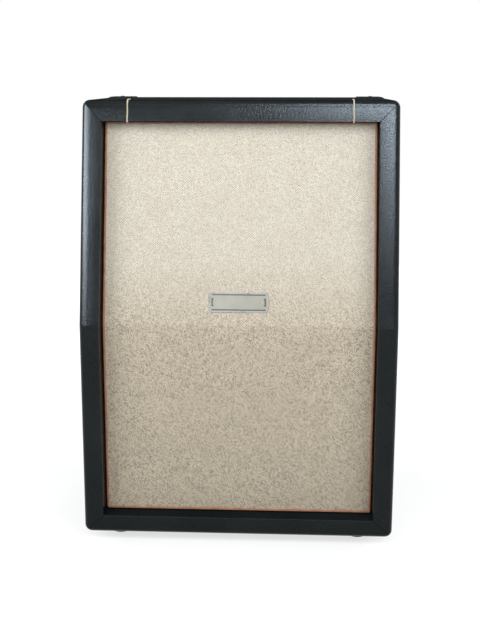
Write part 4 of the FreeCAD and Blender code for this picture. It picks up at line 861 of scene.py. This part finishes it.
sheenSet = bpy.data.collections.new("sheenSet")  # the sheen lamps light the covering alone
sheenSet.objects.link(nodes["cabinet_covering"])
lightSettings = {
    "rightKey": {
        "place": (1.00, -1.20, 1.22), "aim": (0, -0.1, 0.62),
        "size": (1.1, 1.0), "power": 18.2, "lights": "matt",
    },
    "leftKey": {
        "place": (-1.15, -1.10, 1.22), "aim": (-0.1, -0.1, 0.62),
        "size": (1.1, 1.0), "power": 19.8, "lights": "matt",
    },
    "frontKey": {
        "place": (0.0, -1.05, 0.98), "aim": (0, -0.1, 0.64),
        "size": (0.7, 0.5), "power": 5.7, "lights": "matt",
    },
    "rightSheen": {
        "place": (0.65, -1.64, 1.64), "aim": (0.24, -0.1, 0.68),
        "size": (0.80, 0.85), "power": 126.0, "lights": "gloss",
    },
    "leftSheen": {
        "place": (-1.37, -1.11, 1.08), "aim": (-0.25, -0.12, 0.60),
        "size": (1.6, 0.62), "power": 184.0, "lights": "gloss",
    },
    "rearFill": {
        "place": (0.55, 2.4, 0.62), "aim": (0, 0.1, 0.36),
        "size": (0.9, 0.6), "power": 36.0, "lights": "matt",
    },
    "rightFill": {
        "place": (2.3, 0.75, 1.0), "aim": (0.25, 0.05, 0.36),
        "size": (1.0, 0.8), "power": 38.0, "lights": "matt",
    },
    "leftFill": {
        "place": (-2.3, 0.75, 1.0), "aim": (-0.25, 0.05, 0.36),
        "size": (1.0, 0.8), "power": 38.0, "lights": "matt",
    },
}
for name, given in lightSettings.items():
    lamp = bpy.data.lights.new(name, "AREA")
    lamp.shape = "RECTANGLE"
    lamp.size, lamp.size_y = given["size"]
    lamp.energy = given["power"]
    sheen = given["lights"] == "gloss"  # a sheen lamp shows in the gloss alone, the others in the matt part
    lamp.color = (0.75, 0.87, 1.0) if sheen else (0.92, 0.965, 1.0)
    lampObject = bpy.data.objects.new(name, lamp)
    aim = Vector(given["aim"]) - Vector(given["place"])
    turn = aim.to_track_quat("-Z", "Y").to_matrix().to_4x4()
    lampObject.matrix_world = Matrix.Translation(given["place"]) @ turn
    lampObject.visible_camera = False
    lampObject.visible_diffuse = not sheen
    lampObject.visible_glossy = sheen
    if sheen:
        lampObject.light_linking.receiver_collection = sheenSet
    scene.collection.objects.link(lampObject)

roomSettings = {
    "ambient": 0.15, "warmth": (1.0, 0.84, 0.62),
    "floorColour": (0.32, 0.32, 0.32), "floorSpeck": (0.3152, 0.3152, 0.3152), "floorSize": 6.0,
    "floorLift": (0.70, 0.96), "fade": (0.50, 1.4),
}


def seenDirectly(tree):  # one for the camera and for what shows in metal and glass
    path = put(tree, "ShaderNodeLightPath").outputs
    mirrored = calc(tree, "MAXIMUM", path["Is Glossy Ray"], path["Is Transmission Ray"])
    return calc(tree, "MAXIMUM", path["Is Camera Ray"], mirrored)


def addRoom(given):
    world = bpy.data.worlds.new("whiteRoom")
    scene.world = world
    world.use_nodes = True
    tree = world.node_tree
    tree.nodes.clear()
    seen = seenDirectly(tree)
    strength = spread(tree, seen, 0.0, 1.0, given["ambient"], 1.0)
    tint = blendColour(tree, seen, given["warmth"], (1.0, 1.0, 1.0))
    shade = put(tree, "ShaderNodeBackground", {"Color": tint, "Strength": strength})
    output = put(tree, "ShaderNodeOutputWorld")
    tree.links.new(shade.outputs[0], output.inputs[0])
    material, tree, skin = startFinish("whiteFloor")
    away = put(tree, "ShaderNodeVectorMath", {0: objectSpot(tree)}, operation="LENGTH").outputs["Value"]
    lift = spread(tree, away, *given["fade"], *given["floorLift"])  # the far floor runs into the white room
    speck = cloud(tree, objectSpot(tree), 30.0, 3.0)
    colour = blendColour(tree, speck, given["floorColour"], given["floorSpeck"])
    finishSkin(tree, skin, {
        "Base Color": colour, "Roughness": 0.9, "Specular IOR Level": 0.1, "Emission Color": (1.0, 1.0, 1.0),
        "Emission Strength": calc(tree, "MULTIPLY", seenDirectly(tree), lift),
    })
    bm = bmesh.new()
    bmesh.ops.create_grid(bm, x_segments=4, y_segments=4, size=given["floorSize"])
    mesh = bpy.data.meshes.new("studioFloor")
    bm.to_mesh(mesh)
    bm.free()
    mesh.materials.append(material)
    floor = bpy.data.objects.new("studioFloor", mesh)
    scene.collection.objects.link(floor)


addRoom(roomSettings)
print("stage: camera, light and floor set")
